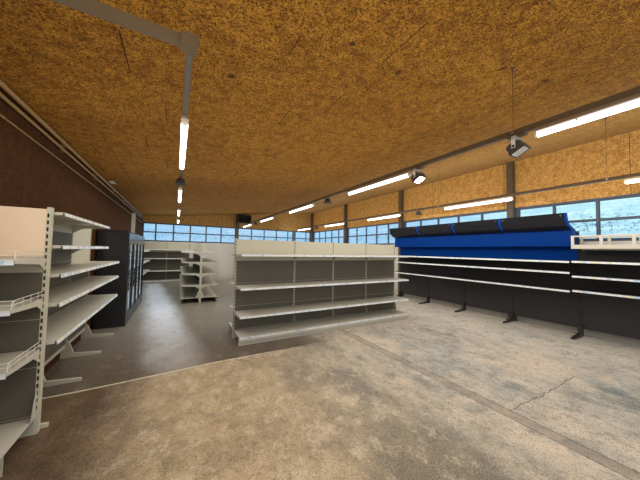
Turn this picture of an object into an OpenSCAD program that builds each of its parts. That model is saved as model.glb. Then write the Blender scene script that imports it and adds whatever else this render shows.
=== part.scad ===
// Sales hall of a drinks supermarket: one room under a single-pitch roof.
// The near end is an open cut on a post line; the hall runs on past it.
// Hall coordinates, used by every sub-part: u from the left wall's inner face,
// v from the open near end towards the back wall, w up from the floor.

/* [Hall] */
// Clear width between the left and right walls
hall_w = 9250; // [7500:50:12000]
// Distance between the post lines of the right wall
bay = 3805; // [3000:5:4700]
// Number of bays
bay_count = 4; // [3:1:5]
// Thickness of the outer walls
wall_t = 240; // [180:10:365]
// Thickness of the floor slab
slab_t = 200; // [120:10:300]

/* [Roof] */
// Height of the ceiling at the left wall
ceil_low = 3200; // [2900:10:3700]
// Rise of the ceiling from the left wall to the right wall
ceil_rise = 987; // [400:1:1500]
// Thickness of the ceiling and wall boards
board_t = 18; // [12:1:30]
// Depth of the roof beams
beam_d = 220; // [160:10:320]
// Thickness of a roof beam
beam_t = 90; // [60:5:160]
// Roof beams in each bay
beams_per_bay = 3; // [2:1:4]
// Thickness of the roof deck
deck_t = 90; // [40:5:160]
// Thickness of the edge boards round the roof
trim_t = 25; // [18:1:60]
// How far an edge board hangs below the beams
trim_drop = 60; // [20:5:120]
// How far an edge board stands above the roof deck
trim_rise = 35; // [10:5:80]
// Radius of the gutter at the low eaves
gutter_r = 62; // [40:1:80]
// Radius of a downpipe
downpipe_r = 40; // [30:1:60]

/* [Window band] */
// Height of the window sill above the floor
sill_h = 2020; // [1500:10:2150]
// Height of the window band
band_h = 925; // [600:5:1200]
// Panes of the right wall in each bay
panes_per_bay = 5; // [3:1:7]
// Pitch of the panes in the back wall
back_pane = 760; // [600:1:1000]
// Distance of the wide jamb in the back wall from the left wall
back_jamb_u = 7962; // [7000:1:8400]
// Width of that jamb
back_jamb_w = 220; // [100:5:260]
// Width of the jamb beyond a post, seen from the near end
jamb_near = 28; // [15:1:60]
// Width of the jamb in front of the next post
jamb_far = 85; // [40:1:120]
// Height of a window's head and foot bars
border_w = 56; // [40:1:90]
// Width of a single mullion
mullion_w = 46; // [30:1:70]
// Height of the transom
transom_w = 38; // [25:1:60]
// Depth of the window frames
frame_d = 70; // [50:1:100]
// Set-back of the frames from the inner face
frame_set = 20; // [5:1:60]
// Thickness of the glazing
glass_t = 24; // [6:1:40]

/* [Posts] */
// Width and depth of a steel post
post_w = 140; // [100:5:200]
// Distance of the back wall's post from the left wall
back_post_u = 4426; // [4000:1:5200]

/* [Lighting] */
// Height of the underside of the light trunking
trunk_h = 2945; // [2700:5:3050]
// Width of the trunking
trunk_w = 46; // [40:1:80]
// Depth of the trunking
trunk_d = 56; // [40:1:100]
// Distance of the left, middle and right trunking lines from the left wall
trunk_left_u = 1494; // [1300:1:1900]
// Distance of the middle line from the left wall
trunk_mid_u = 4498; // [3800:1:5000]
// Distance of the right line from the left wall
trunk_right_u = 7621; // [6800:1:7900]
// Length of a lamp
lamp_l = 1552; // [1200:1:1560]
// Pitch of the lamps along the trunking
lamp_pitch = 3100; // [2900:10:3400]
// Start of the first lamp from the near end
lamp_start = 66; // [50:1:300]
// Width of a lamp's tray
tray_w = 62; // [50:1:90]
// Depth of a lamp's tray
tray_d = 36; // [16:1:40]
// Radius of a lamp's diffuser
diffuser_r = 30; // [18:1:40]
// Height of the straight sides of a lamp's diffuser
diffuser_side = 25; // [10:1:40]
// Distance of the cross trunking from the near end
cross_v = 2253; // [2050:1:2600]
// Size of the corner box of the trunking
corner_box = 95; // [70:1:140]
// Radius of a hanger wire
wire_r = 2.5; // [1.5:0.5:4]
// Distance of the first loudspeakers from the near end
speaker_v = 5560; // [5000:10:6000]
// Radius of a loudspeaker's rim
speaker_r = 100; // [70:1:130]
// Height of a loudspeaker
speaker_h = 118; // [90:1:170]

/* [Floodlights] */
// Distance of the first floodlight from the near end
flood_1_v = 1775; // [1765:1:2000]
// Distance of the second floodlight from the near end
flood_2_v = 3012; // [2800:1:3020]
// Width of a floodlight's head along the trunking
flood_w = 150; // [110:1:170]
// Height of the head's face
flood_h = 150; // [110:1:170]
// Depth of the head
flood_d = 112; // [70:1:120]
// Clearance between the head and its yoke
flood_gap = 6; // [5:1:12]
// Thickness of the yoke's strap
yoke_t = 5; // [3:0.5:8]
// Width of the yoke's strap
yoke_w = 36; // [24:1:50]
// Radius of the swivel pin and of the tilt pins
flood_pin_r = 7; // [5:0.5:10]
// Running clearance of the pins
pin_gap = 0.08; // [0.02:0.01:0.1]
// Downward tilt of the head as hung
flood_tilt = 62; // [10:1:70]

/* [Pipes and heater] */
// Radius of the upper heating pipe
pipe_hi_r = 24; // [15:1:30]
// Radius of the lower heating pipe
pipe_lo_r = 17; // [10:1:25]
// Radius of the cable conduit
conduit_r = 9; // [6:1:14]
// Height of the upper pipe below the ceiling
pipe_hi_drop = 72; // [50:1:140]
// Height of the lower pipe below the upper one
pipe_lo_drop = 80; // [60:1:150]
// Height of the conduit below the lower pipe
conduit_drop = 150; // [80:1:240]
// Distance of the upper pipe's centre line from the left wall
pipe_hi_u = 62; // [45:1:90]
// Distance of the lower pipe's centre line from the left wall
pipe_lo_u = 42; // [30:1:70]
// Pitch of the pipe clips
clip_pitch = 1650; // [1000:50:2500]
// Width, height and depth of the fan heater
heater_w = 724; // [700:10:1000]
// Height of the fan heater
heater_h = 445; // [400:10:600]
// Depth of the fan heater
heater_d = 393; // [250:10:500]

/* [Shelving] */
// Width of a shelving upright
upright_w = 30; // [20:1:50]
// Depth of a shelving upright
upright_d = 60; // [40:1:90]
// Thickness of a shelving back panel
panel_t = 12; // [6:1:25]
// Height of a shelf's folded edge
shelf_lip = 38; // [25:1:50]
// Thickness of a shelf sheet
sheet_t = 3; // [3:0.5:8]
// Height of the plinth under the lowest shelf
plinth_h = 152; // [100:1:180]
// Height of a shelf bracket at the upright
bracket_h = 118; // [80:1:140]
// Height of a guard fin beside a base shelf
fin_h = 240; // [100:5:300]
// Gap between neighbouring shelves
shelf_gap = 4; // [2:1:10]

/* [Left shelving] */
// Start of the left wall shelving from the near end
left_run_v = 3868; // [3600:1:4200]
// Bay of the left wall shelving
left_run_bay = 965; // [800:1:1000]
// Depth of the left wall shelves
left_run_d = 438; // [350:1:470]
// Height of the left wall shelving
left_run_h = 2060; // [1900:10:2200]
// Distance of the end bay's free upright from the left wall
end_bay_u = 433; // [380:1:470]
// Depth of the end bay's shelves
end_bay_d = 528; // [400:1:600]

// Start of the left wall's far shelving from the near end
far_run_v = 10540; // [10500:10:11200]
// Bay of the far shelving
far_run_bay = 1000; // [800:10:1100]
// Height of the far shelving
far_run_h = 2030; // [1800:10:2200]
// Height of the tall post at its near end
tall_post_h = 2805; // [2300:5:2950]

/* [Drinks cooler] */
// Start of the cooler from the near end
cooler_v = 7413; // [6900:1:7450]
// Length of the cooler
cooler_l = 3040; // [2400:10:3060]
// Depth of the cooler, doors included
cooler_d = 539; // [480:1:640]
// Height of the cooler
cooler_h = 2068; // [1900:1:2200]
// Thickness of the cooler's insulated walls
cooler_wall = 40; // [25:1:60]
// Height of the cooler's machine plinth
cooler_plinth = 180; // [120:10:260]
// Height of the cooler's header
cooler_header = 230; // [120:10:300]
// Corner radius at the top of the cooler's front
cooler_r = 70; // [30:5:100]
// Number of cooler doors, each with its own pair of nodes
cooler_doors = 4; // [4:1:4]
// Thickness of a cooler door
door_t = 34; // [25:1:45]
// Width of a cooler door's frame bars
door_bar = 44; // [30:1:60]
// Clearance between a door and what it closes on
door_gap = 6; // [5:1:10]
// Gap between neighbouring doors
door_split = 16; // [14:1:24]
// Radius of the door's hinge pins
hinge_r = 6; // [4:0.5:9]

/* [Gondolas] */
// Start of the cross gondola from the left wall
cross_run_u = 2482; // [2300:1:2800]
// First, wider bay of the cross gondola
cross_run_first = 1250; // [1000:10:1250]
// The other bays of the cross gondola
cross_run_bay = 1000; // [800:10:1050]
// Number of those other bays
cross_run_n = 3; // [2:1:3]
// Distance of the cross gondola's panel from the near end
cross_run_v = 5635; // [5300:5:5900]
// Height of the cross gondola
cross_run_h = 1926; // [1700:1:2000]
// Depth of the gondola shelves
gondola_d = 497; // [400:1:520]
// Distance of the aisle gondola's middle from the left wall
aisle_run_u = 2173; // [2100:1:2300]
// Start of the aisle gondola from the near end
aisle_run_v = 9410; // [9000:10:9800]
// Bay of the aisle gondola
aisle_run_bay = 1000; // [900:10:1000]
// Number of bays of the aisle gondola
aisle_run_n = 4; // [3:1:4]
// Height of the aisle gondola
aisle_run_h = 1887; // [1600:1:1950]

/* [Wall shelving] */
// Distance of the wall shelving's back from the right wall
wall_run_set = 205; // [205:5:300]
// Depth of the wall shelves
wall_run_d = 483; // [400:1:580]
// Height of the wall shelving's back under the sign canopies
wall_run_h = 2230; // [2100:10:2260]
// Start of the crown bays from the near end
crown_v = 65; // [50:5:300]
// Bay under the cream crown
crown_bay = 1250; // [1000:10:1260]
// Bay under the sign canopies
canopy_bay = 1250; // [1000:10:1260]
// Number of bays under the sign canopies
canopy_n = 4; // [3:1:4]
// Level of the foot of the sign canopies
canopy_foot = 2240; // [2100:1:2300]
// Radius of a sign canopy's bow
canopy_r = 352; // [280:1:400]
// Sweep of a sign canopy's bow in degrees
canopy_sweep = 84; // [60:1:88]
// Set-back of a canopy's foot behind the shelves' front
canopy_tuck = 173; // [100:1:220]
// Thickness of a sign panel
sign_t = 16; // [8:1:25]
// Gap between neighbouring sign panels
sign_gap = 70; // [30:5:120]
// Level of the underside of the cream crown
crown_foot = 1849; // [1700:1:1900]
// Height of the cream crown
crown_h = 266; // [150:5:320]
// Thickness of the crown's tray
crown_tray = 80; // [40:2:90]
// Width of the crown's posts
crown_post = 44; // [30:1:80]
// Thickness of the crown's posts and top rails
crown_t = 24; // [15:1:40]

/* [Back shelving] */
// Start of the back shelving from the left wall
back_run_u = 70; // [60:10:200]
// Bay of the back shelving
back_run_bay = 1000; // [800:10:1050]
// Depth of the back shelves
back_run_d = 430; // [300:10:450]

/* [Hidden] */

// Overall lengths and the move from hall coordinates to the part's own frame
hall_l = post_w + bay * bay_count;
gutter_reach = 2 * gutter_r;
frame_u = -(hall_w - gutter_reach) / 2;
frame_v = -(hall_l + wall_t) / 2;

// Gap left where one piece is seated on another
seat_gap = 0.3;
// Foot of the downpipes
downpipe_foot = 40 - slab_t;

// Roof levels
function ceiling_w(u) = ceil_low + ceil_rise * u / hall_w;
function beam_foot(u) = ceiling_w(u) + board_t;
beam_lift = board_t + seat_gap;
deck_lift = beam_lift + beam_d + seat_gap;
beam_pitch = bay / beams_per_bay;
last_beam_v = hall_l + wall_t - beam_t;

// Window band
band_top = sill_h + band_h;
row_h = (band_h - 2 * border_w - transom_w) / 2;
right_clear = bay - post_w - jamb_near - jamb_far;
right_pane = (right_clear + mullion_w) / panes_per_bay;

// Lighting
lamp_last = floor((hall_l - lamp_start - lamp_l - 400) / lamp_pitch);
trunk_end = lamp_start + lamp_last * lamp_pitch + lamp_l + 120;
hanger_v = lamp_start + lamp_l + 190;
channel_t = 4;
cap_t = 18;
adapter_h = 24;
adapter_w = 60;
adapter_l = 150;
stem_l = 24;
yoke_top = trunk_h - adapter_h - 8;
flood_reach = sqrt(flood_h * flood_h + flood_d * flood_d) / 2;
flood_w_axis = yoke_top - yoke_t - flood_gap - flood_reach;
flood_arm = flood_w / 2 + flood_gap;

// Pipes
pipe_hi_w = ceiling_w(pipe_hi_u) - pipe_hi_drop;
pipe_lo_w = pipe_hi_w - pipe_lo_drop;
conduit_w = pipe_lo_w - conduit_drop;
clip_t = 26;

// Bays of each run, along the run
left_bays = [left_run_bay, left_run_bay];
far_bays = [far_run_bay, far_run_bay, far_run_bay];
end_bay = [end_bay_u - upright_w - 5];
cross_bays = concat([cross_run_first], [for (i = [1 : cross_run_n]) cross_run_bay]);
aisle_bays = [for (i = [1 : aisle_run_n]) aisle_run_bay];
canopy_bays = [for (i = [1 : canopy_n]) canopy_bay];
crown_bays = [crown_bay - upright_w / 2, crown_bay - upright_w / 2];
back_bays = [back_run_bay, back_run_bay];
function start(bays, i) = i == 0 ? 0 : start(bays, i - 1) + bays[i - 1];
function run_length(bays) = start(bays, len(bays));

// Shelf levels of each run
left_levels = [795, 1151, 1433, 1713, 2036];
end_levels = [762, 1220, 1592];
far_levels = [790, 1189, 1598];
cross_levels = [516, 1013, 1620];
aisle_levels = [560, 920, 1282, 1595];
crown_levels = [1007, 1299, 1599];
canopy_levels = [986, 1365, 1592];
back_levels = [620, 1211, 1637];

// Wall shelving
wall_run_back = hall_w - wall_run_set;
canopy_v = crown_v + 2 * crown_bay;
canopy_end = canopy_v + run_length(canopy_bays);
board_foot = 1600;
fascia_foot = 1905;
backing_t = 12;
rib_t = 10;

// Cooler: the front plane, the hinge line and one door's leaf
cooler_back = 30;
cooler_nose = cooler_back + cooler_d;
cooler_front = cooler_nose - 2 * door_gap - door_t;
leaf_w = (cooler_l - 2 * cooler_wall - 2 * door_gap - (cooler_doors - 1) * door_split) / cooler_doors;
leaf_z = cooler_plinth + door_gap;
leaf_h = cooler_h - cooler_header - cooler_plinth - 2 * door_gap;
hinge_u = cooler_front + door_gap + door_t / 2;
hinge_in = door_t / 2;
pin_reach = 16;
handle_h = 400;
handle_out = 22;
cooler_levels = [cooler_plinth + 330, cooler_plinth + 670, cooler_plinth + 1000, cooler_plinth + 1320];

// Places its children in hall coordinates
module hall() {
    translate([frame_u, frame_v, slab_t]) children();
}

// A box by its lowest corner and its size
module block(u, v, w, du, dv, dw) {
    translate([u, v, w]) cube([du, dv, dw]);
}

// A profile drawn in u and w, carried along the hall from v0
module along_hall(v0, len) {
    translate([0, v0 + len, 0]) rotate([90, 0, 0]) linear_extrude(len) children();
}

// A profile drawn in y and z of a shelving run, carried along its x from x0
module along_run(x0, len) {
    translate([x0, 0, 0]) rotate([90, 0, 90]) linear_extrude(len) children();
}

// A band between two distances, parallel to the ceiling
module roof_band(u0, u1, lift, depth) {
    polygon([[u0, ceiling_w(u0) + lift], [u1, ceiling_w(u1) + lift],
        [u1, ceiling_w(u1) + lift + depth], [u0, ceiling_w(u0) + lift + depth]]);
}

// A wall profile from a level up to the foot of the roof beams
module wall_profile(u0, u1, foot) {
    polygon([[u0, foot], [u1, foot], [u1, beam_foot(u1)], [u0, beam_foot(u0)]]);
}

module floor_slab() {
    color("#b3a68f") hall()
        block(-wall_t, 0, -slab_t, hall_w + 2 * wall_t, hall_l + wall_t, slab_t);
}

module left_wall() {
    color("#cfc9bd") hall() along_hall(0, hall_l + wall_t) wall_profile(-wall_t, -board_t, 0);
}

// Base to the sill, upper wall over the window band and the pier at the corner
module back_wall() {
    color("#cfc9bd") hall() {
        along_hall(hall_l, wall_t) {
            translate([-board_t, 0]) square([hall_w + board_t + wall_t, sill_h]);
            wall_profile(hall_w, hall_w + wall_t, sill_h - 1);
        }
        along_hall(hall_l + board_t, wall_t - board_t) wall_profile(-board_t, hall_w + 1, band_top);
    }
}

module right_wall() {
    color("#cfc9bd") hall() {
        block(hall_w, 0, 0, wall_t, hall_l, sill_h);
        along_hall(0, hall_l) wall_profile(hall_w + board_t, hall_w + wall_t, band_top);
    }
}

// Panes between two jamb faces, counted from a; the last pane takes the rest
module pane_row(a, b, pitch) {
    n = max(1, ceil((b - a + mullion_w) / pitch - 0.25));
    for (k = [0 : n - 1], row = [0, 1]) {
        left = a + k * pitch;
        right = k == n - 1 ? b : left + pitch - mullion_w;
        translate([left, border_w + row * (row_h + transom_w)]) square([right - left, row_h]);
    }
}

module right_panes() {
    for (k = [0 : bay_count - 1])
        pane_row(k * bay + post_w + jamb_near, k * bay + post_w + jamb_near + right_clear, right_pane);
}

// Left of the back post the panes are counted from the post, so they are mirrored
module back_panes() {
    post_side = post_w / 2 + jamb_near;
    left_end = back_post_u - post_side;
    translate([border_w + left_end, 0]) mirror([1, 0]) pane_row(border_w, left_end, back_pane);
    pane_row(back_post_u + post_side, back_jamb_u - back_jamb_w / 2, back_pane);
    pane_row(back_jamb_u + back_jamb_w / 2, hall_w - post_w - jamb_near, back_pane);
}

// The bars of a window band between two ends, as one lattice round its panes
module window_bars(a, b) {
    difference() {
        translate([a, 0]) square([b - a, band_h]);
        children();
    }
}

// Stands a window drawn flat along the right wall or the back wall
module on_right_wall(inset, depth) {
    hall() translate([hall_w + inset, 0, sill_h]) rotate([90, 0, 90]) linear_extrude(depth) children();
}

module on_back_wall(inset, depth) {
    hall() translate([0, hall_l + inset + depth, sill_h]) rotate([90, 0, 0]) linear_extrude(depth)
        children();
}

module window_frames() {
    color("#4a4d52") {
        on_right_wall(frame_set, frame_d) window_bars(0, hall_l) right_panes();
        on_back_wall(frame_set, frame_d) window_bars(-board_t, hall_w) back_panes();
    }
}

module window_glass() {
    inset = frame_set + (frame_d - glass_t) / 2;
    color("#bfe0f2") {
        on_right_wall(inset, glass_t) right_panes();
        on_back_wall(inset, glass_t) back_panes();
    }
}

// Chip boards on the left wall and on the upper walls over the windows
module wall_boards() {
    color("#b98a4e") hall() {
        along_hall(0, hall_l) wall_profile(-board_t, 0, 0);
        along_hall(0, hall_l) wall_profile(hall_w, hall_w + board_t, band_top);
        along_hall(hall_l, board_t) wall_profile(-board_t, hall_w, band_top);
    }
}

// A post whose head is cut to the slope of the ceiling
module post(u, v) {
    top = -seat_gap;
    along_hall(v, post_w)
        polygon([[u, 0], [u + post_w, 0], [u + post_w, ceiling_w(u + post_w) + top], [u, ceiling_w(u) + top]]);
}

module wall_posts() {
    color("#55565a") hall() {
        for (k = [0 : bay_count]) post(hall_w - post_w, k * bay);
        post(back_post_u - post_w / 2, hall_l - post_w);
    }
}

module ceiling_boards() {
    color("#a87432") hall() along_hall(0, hall_l) roof_band(0, hall_w, 0, board_t);
}

module roof_beams() {
    color("#8a6a45") hall() {
        for (k = [0 : floor((last_beam_v - beam_t) / beam_pitch)])
            along_hall(k * beam_pitch, beam_t)
                roof_band(-wall_t, hall_w + wall_t, beam_lift, beam_d);
        along_hall(last_beam_v, beam_t) roof_band(-wall_t, hall_w + wall_t, beam_lift, beam_d);
    }
}

module roof_deck() {
    color("#7d8286") hall() along_hall(0, hall_l + wall_t)
        roof_band(-wall_t, hall_w + wall_t, deck_lift, deck_t);
}

// Edge boards: two level ones at the eaves, two sloping ones at the ends
module roof_edge_trim() {
    depth = trim_drop + beam_d + deck_t + trim_rise;
    color("#3f4347") hall() {
        for (side = [-wall_t - trim_t, hall_w + wall_t])
            block(side, seat_gap, beam_foot(side < 0 ? side + trim_t : side) - trim_drop,
                trim_t, hall_l + wall_t - 2 * seat_gap, depth);
        for (v = [-trim_t, hall_l + wall_t])
            along_hall(v, trim_t)
                roof_band(-wall_t - trim_t, hall_w + wall_t + trim_t, board_t - trim_drop, depth);
    }
}

gutter_u = -wall_t - trim_t - gutter_r;
gutter_w = beam_foot(-wall_t) + gutter_r;
gutter_t = 4;

// Half disc, flat side up
module half_disc(r) {
    intersection() {
        circle(r = r, $fn = 48);
        translate([-r, -r]) square([2 * r, r]);
    }
}

// Half-round gutter with closed ends, and two downpipes with straps to the wall
module roof_gutter() {
    len = hall_l + wall_t;
    strap = -wall_t - gutter_u - downpipe_r + 3;
    color("#8c9196") hall() {
        translate([gutter_u, 0, gutter_w]) {
            along_hall(0, len) difference() {
                half_disc(gutter_r);
                circle(r = gutter_r - gutter_t, $fn = 48);
            }
            for (v = [0, len - gutter_t]) along_hall(v, gutter_t) half_disc(gutter_r);
        }
        for (v = [900, len - 900]) {
            translate([gutter_u, v, downpipe_foot])
                cylinder(r = downpipe_r, h = gutter_w - gutter_r - seat_gap - downpipe_foot, $fn = 40);
            for (w = [500, 2200])
                block(gutter_u + downpipe_r - 3, v - 20, w, strap, 40, 40);
        }
    }
}

// Trunking profile: a channel open below, with two lips that carry the lamps
module channel() {
    difference() {
        translate([-trunk_w / 2, 0]) square([trunk_w, trunk_d]);
        translate([channel_t - trunk_w / 2, channel_t])
            square([trunk_w - 2 * channel_t, trunk_d - 2 * channel_t]);
        translate([2.5 * channel_t - trunk_w / 2, -1]) square([trunk_w - 5 * channel_t, channel_t + 2]);
    }
}

// A trunking line along the hall, closed at its far end
module trunk(u, v0, v1) {
    along_hall(v0, v1 - v0) translate([u, trunk_h]) channel();
    block(u - trunk_w / 2, v1 - 1, trunk_h, trunk_w, channel_t, trunk_d);
}

module light_trunks() {
    color("#6a645c") hall() {
        trunk(trunk_left_u, cross_v + corner_box / 2, trunk_end);
        trunk(trunk_mid_u, 0, trunk_end);
        trunk(trunk_right_u, 0, trunk_end);
    }
}

// Cross piece to the left wall with its corner box, and the adapters of the floodlights
module trunk_fittings() {
    box_u = trunk_left_u - corner_box / 2;
    color("#6a645c") hall() {
        block(0, cross_v - trunk_w / 2, trunk_h, box_u + 1, trunk_w, trunk_d);
        block(box_u, cross_v - corner_box / 2, trunk_h - 6, corner_box, corner_box, trunk_d + 12);
        for (v = [flood_1_v, flood_2_v]) difference() {
            block(trunk_mid_u - adapter_w / 2, v - adapter_l / 2, trunk_h - adapter_h,
                adapter_w, adapter_l, adapter_h);
            translate([trunk_mid_u, v, trunk_h - adapter_h - 1])
                cylinder(r = flood_pin_r + pin_gap, h = stem_l, $fn = 32);
        }
    }
}

// Calls its child at the start of each lamp; the left line begins one lamp later
module each_lamp() {
    for (k = [0 : lamp_last], u = [trunk_left_u, trunk_mid_u, trunk_right_u])
        if (u > trunk_left_u || k > 0) translate([u, lamp_start + k * lamp_pitch, trunk_h]) children();
}

// Lamp profiles, drawn below the trunking: the flared tray and the U-shaped diffuser under it
module tray_profile() {
    polygon([[-trunk_w / 2, 0], [trunk_w / 2, 0], [tray_w / 2, -tray_d], [-tray_w / 2, -tray_d]]);
}

module diffuser_profile() {
    translate([0, -tray_d]) {
        translate([-diffuser_r, -diffuser_side]) square([2 * diffuser_r, diffuser_side]);
        translate([0, -diffuser_side]) half_disc(diffuser_r);
    }
}

// Tray with an end cap at each end that closes the diffuser
module lamp_trays() {
    color("#e8e6df") hall() each_lamp() {
        along_hall(0, lamp_l) tray_profile();
        for (v = [0, lamp_l - cap_t]) along_hall(v, cap_t) {
            translate([-tray_w / 2, -tray_d - diffuser_side]) square([tray_w, diffuser_side + 1]);
            translate([0, -tray_d - diffuser_side]) half_disc(tray_w / 2);
        }
    }
}

module lamp_diffusers() {
    color("white") hall() each_lamp() along_hall(cap_t, lamp_l - 2 * cap_t) diffuser_profile();
}

module trunk_hangers() {
    color("#9a9a98") hall()
        for (k = [0 : lamp_last], u = [trunk_left_u, trunk_mid_u, trunk_right_u])
            if (u > trunk_left_u || k > 0)
                translate([u, hanger_v + k * lamp_pitch - (k == lamp_last ? 150 : 0), trunk_h + trunk_d])
                    cylinder(r = wire_r, h = ceiling_w(u - wire_r) - trunk_h - trunk_d, $fn = 16);
}

// A bell on a short neck, closed by a domed grille
module loudspeaker() {
    rotate_extrude($fn = 48) polygon([[0, 0], [22, 0], [22, -18], [40, -24],
        for (a = [0 : 15 : 75]) [speaker_r - 38 * cos(a), -30 - (speaker_h - 45) * sin(a) / sin(75)],
        [speaker_r, -speaker_h + 8], [speaker_r, -speaker_h], [0, -speaker_h - 6]]);
}

module loudspeakers() {
    color("#1d1b1b") hall() {
        for (u = [trunk_mid_u, trunk_right_u], v = [speaker_v, speaker_v + 2 * lamp_pitch])
            translate([u, v, trunk_h]) loudspeaker();
        translate([trunk_left_u, speaker_v, trunk_h]) loudspeaker();
    }
}

// Stirrup: a bar with the swivel pin on top and two arms bored for the tilt pins
module flood_yoke(v) {
    drop = yoke_top - flood_w_axis + yoke_w / 2;
    span = 2 * (flood_arm + yoke_t);
    color("#b9b4aa") hall() translate([trunk_mid_u, v, 0]) {
        difference() {
            union() {
                translate([-span / 2, -yoke_w / 2, yoke_top - yoke_t]) cube([span, yoke_w, yoke_t]);
                for (side = [-span / 2, flood_arm])
                    translate([side, -yoke_w / 2, yoke_top - drop]) cube([yoke_t, yoke_w, drop]);
            }
            translate([-span / 2 - 1, 0, flood_w_axis]) rotate([0, 90, 0])
                cylinder(r = flood_pin_r + pin_gap, h = span + 2, $fn = 32);
        }
        translate([0, 0, yoke_top]) cylinder(r = flood_pin_r, h = stem_l - 4, $fn = 32);
    }
}

// Side outline of a head: flared bezel in front, chamfered case, its face towards -y
module flood_side() {
    front = -flood_d / 2;
    half = flood_h / 2;
    polygon([[front, -half], [front + 14, -half], [front + 18, 8 - half], [flood_d * 0.2, 8 - half],
        [flood_d * 0.42, -half * 0.55], [flood_d * 0.42, half * 0.55], [flood_d * 0.2, half - 8],
        [front + 18, half - 8], [front + 14, half], [front, half]]);
}

// Head hung facing the near end and the floor, with an open mouth and cooling ribs behind
module flood_head(v) {
    mouth = flood_w - 22;
    color("#2e2826") hall() translate([trunk_mid_u, v, flood_w_axis]) rotate([flood_tilt, 0, 0]) {
        difference() {
            along_run(-flood_w / 2, flood_w) flood_side();
            translate([-mouth / 2, -flood_d / 2 - 1, -mouth / 2]) cube([mouth, 31, mouth]);
        }
        for (k = [0 : 6])
            translate([-flood_w * 0.4 + k * (flood_w * 0.8 - 6) / 6, flood_d * 0.4, -flood_h * 0.25])
                cube([6, flood_d * 0.1, flood_h * 0.5]);
        rotate([0, 90, 0]) translate([0, 0, -flood_arm - yoke_t])
            cylinder(r = flood_pin_r, h = 2 * (flood_arm + yoke_t), $fn = 32);
    }
}

// One pipe on its wall clips
module clipped_pipe(u, w, r) {
    along_hall(0, hall_l) translate([u, w]) circle(r = r, $fn = 40);
    for (k = [0 : floor((hall_l - 900) / clip_pitch)])
        along_hall(420 + k * clip_pitch, clip_t) translate([0, w - r - 8]) square([u, 2 * r + 16]);
}

module heating_pipes() {
    color("#a98a5c") hall() {
        clipped_pipe(pipe_hi_u, pipe_hi_w, pipe_hi_r);
        clipped_pipe(pipe_lo_u, pipe_lo_w, pipe_lo_r);
        along_hall(0, hall_l) translate([conduit_r, conduit_w]) circle(r = conduit_r, $fn = 24);
    }
}

// Fan heater hung on the back wall's post: a case with a louvred mouth
module fan_heater() {
    u0 = back_post_u - post_w / 2;
    v0 = hall_l - post_w - heater_d;
    w0 = ceiling_w(u0) - heater_h - 30;
    rim = 36;
    mouth_d = 90;
    blades = 7;
    pitch = (heater_h - 2 * rim) / blades;
    color("#1b1b1d") hall() translate([u0, v0, w0]) {
        difference() {
            cube([heater_w, heater_d, heater_h]);
            translate([rim, -1, rim]) cube([heater_w - 2 * rim, mouth_d + 1, heater_h - 2 * rim]);
        }
        for (k = [0 : blades - 1]) along_run(rim - 1, heater_w - 2 * rim + 2)
            translate([10, rim + (k + 0.5) * pitch])
                polygon([[0, -pitch * 0.3], [3, -pitch * 0.3 - 4], [55, pitch * 0.3], [52, pitch * 0.3 + 4]]);
    }
}

// Frame of a run: uprights and back panels in one plane; x along the run, y = 0 at the panel's face
module run_frame(bays, h) {
    for (i = [0 : len(bays)]) translate([start(bays, i) - upright_w / 2, 0, 0]) cube([upright_w, upright_d, h]);
    for (i = [0 : len(bays) - 1])
        translate([start(bays, i) + upright_w / 2 - 1, 8, plinth_h + 10])
            cube([bays[i] - upright_w + 2, panel_t, h - plinth_h - 30]);
}

// Feet in front of the uprights, each with a tapered fin
module run_feet(bays, depth) {
    for (i = [0 : len(bays)]) translate([start(bays, i) - upright_w / 2, 0, 0]) along_run(0, upright_w)
        polygon([[-seat_gap, 0], [20 - depth, 0], [20 - depth, 34], [-90, 62], [-30, fin_h], [-seat_gap, fin_h + 10]]);
}

// One shelf with folded edges and a leaning front, on two hooked brackets; its top is at z = 0
module shelf(length, depth) {
    lean = 7;
    along_run(0, length)
        polygon([[0, 0], [-depth, 0], [-depth - lean, -shelf_lip], [sheet_t - depth - lean, -shelf_lip],
            [sheet_t - depth, -sheet_t], [-sheet_t, -sheet_t], [-sheet_t, -shelf_lip], [0, -shelf_lip]]);
    for (x = [0, length - sheet_t]) along_run(x, sheet_t)
        polygon([[0, -1], [12 - depth, -1], [12 - depth, -0.7 * shelf_lip], [-110, -0.45 * bracket_h],
            [-40, -0.8 * bracket_h], [-14, -bracket_h], [0, -bracket_h]]);
}

// Base shelf: a tray with a deep front over a set-back kick plate, and a fin at each end
module base_shelf(length, depth) {
    front = -depth;
    kick = front + 40;
    along_run(0, length) {
        translate([front, plinth_h - sheet_t]) square([depth, sheet_t]);
        translate([front, plinth_h / 2]) square([sheet_t, plinth_h / 2]);
        for (y = [kick, -sheet_t]) translate([y, 0]) square([sheet_t, plinth_h - 1]);
    }
    for (x = [0, length - sheet_t]) along_run(x, sheet_t)
        polygon([[0, plinth_h - 1], [-90, plinth_h - 1], [-60, plinth_h + fin_h * 0.5],
            [-25, plinth_h + fin_h - 15], [0, plinth_h + fin_h]]);
}

// The shelves of a run, one per bay and level
module run_shelves(bays, depth, levels) {
    for (i = [0 : len(bays) - 1], w = levels)
        translate([start(bays, i) + shelf_gap / 2, 0, w]) shelf(bays[i] - shelf_gap, depth);
}

module run_bases(bays, depth) {
    for (i = [0 : len(bays) - 1])
        translate([start(bays, i) + shelf_gap / 2, 0, 0]) base_shelf(bays[i] - shelf_gap, depth);
}

module at_left_wall(v) {
    hall() translate([upright_d, v, 0]) rotate([0, 0, 90]) children();
}

// Places the end bay, which faces the near end
module at_end_bay() {
    hall() translate([upright_w / 2 + 5, left_run_v - upright_w, 0]) children();
}

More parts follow.
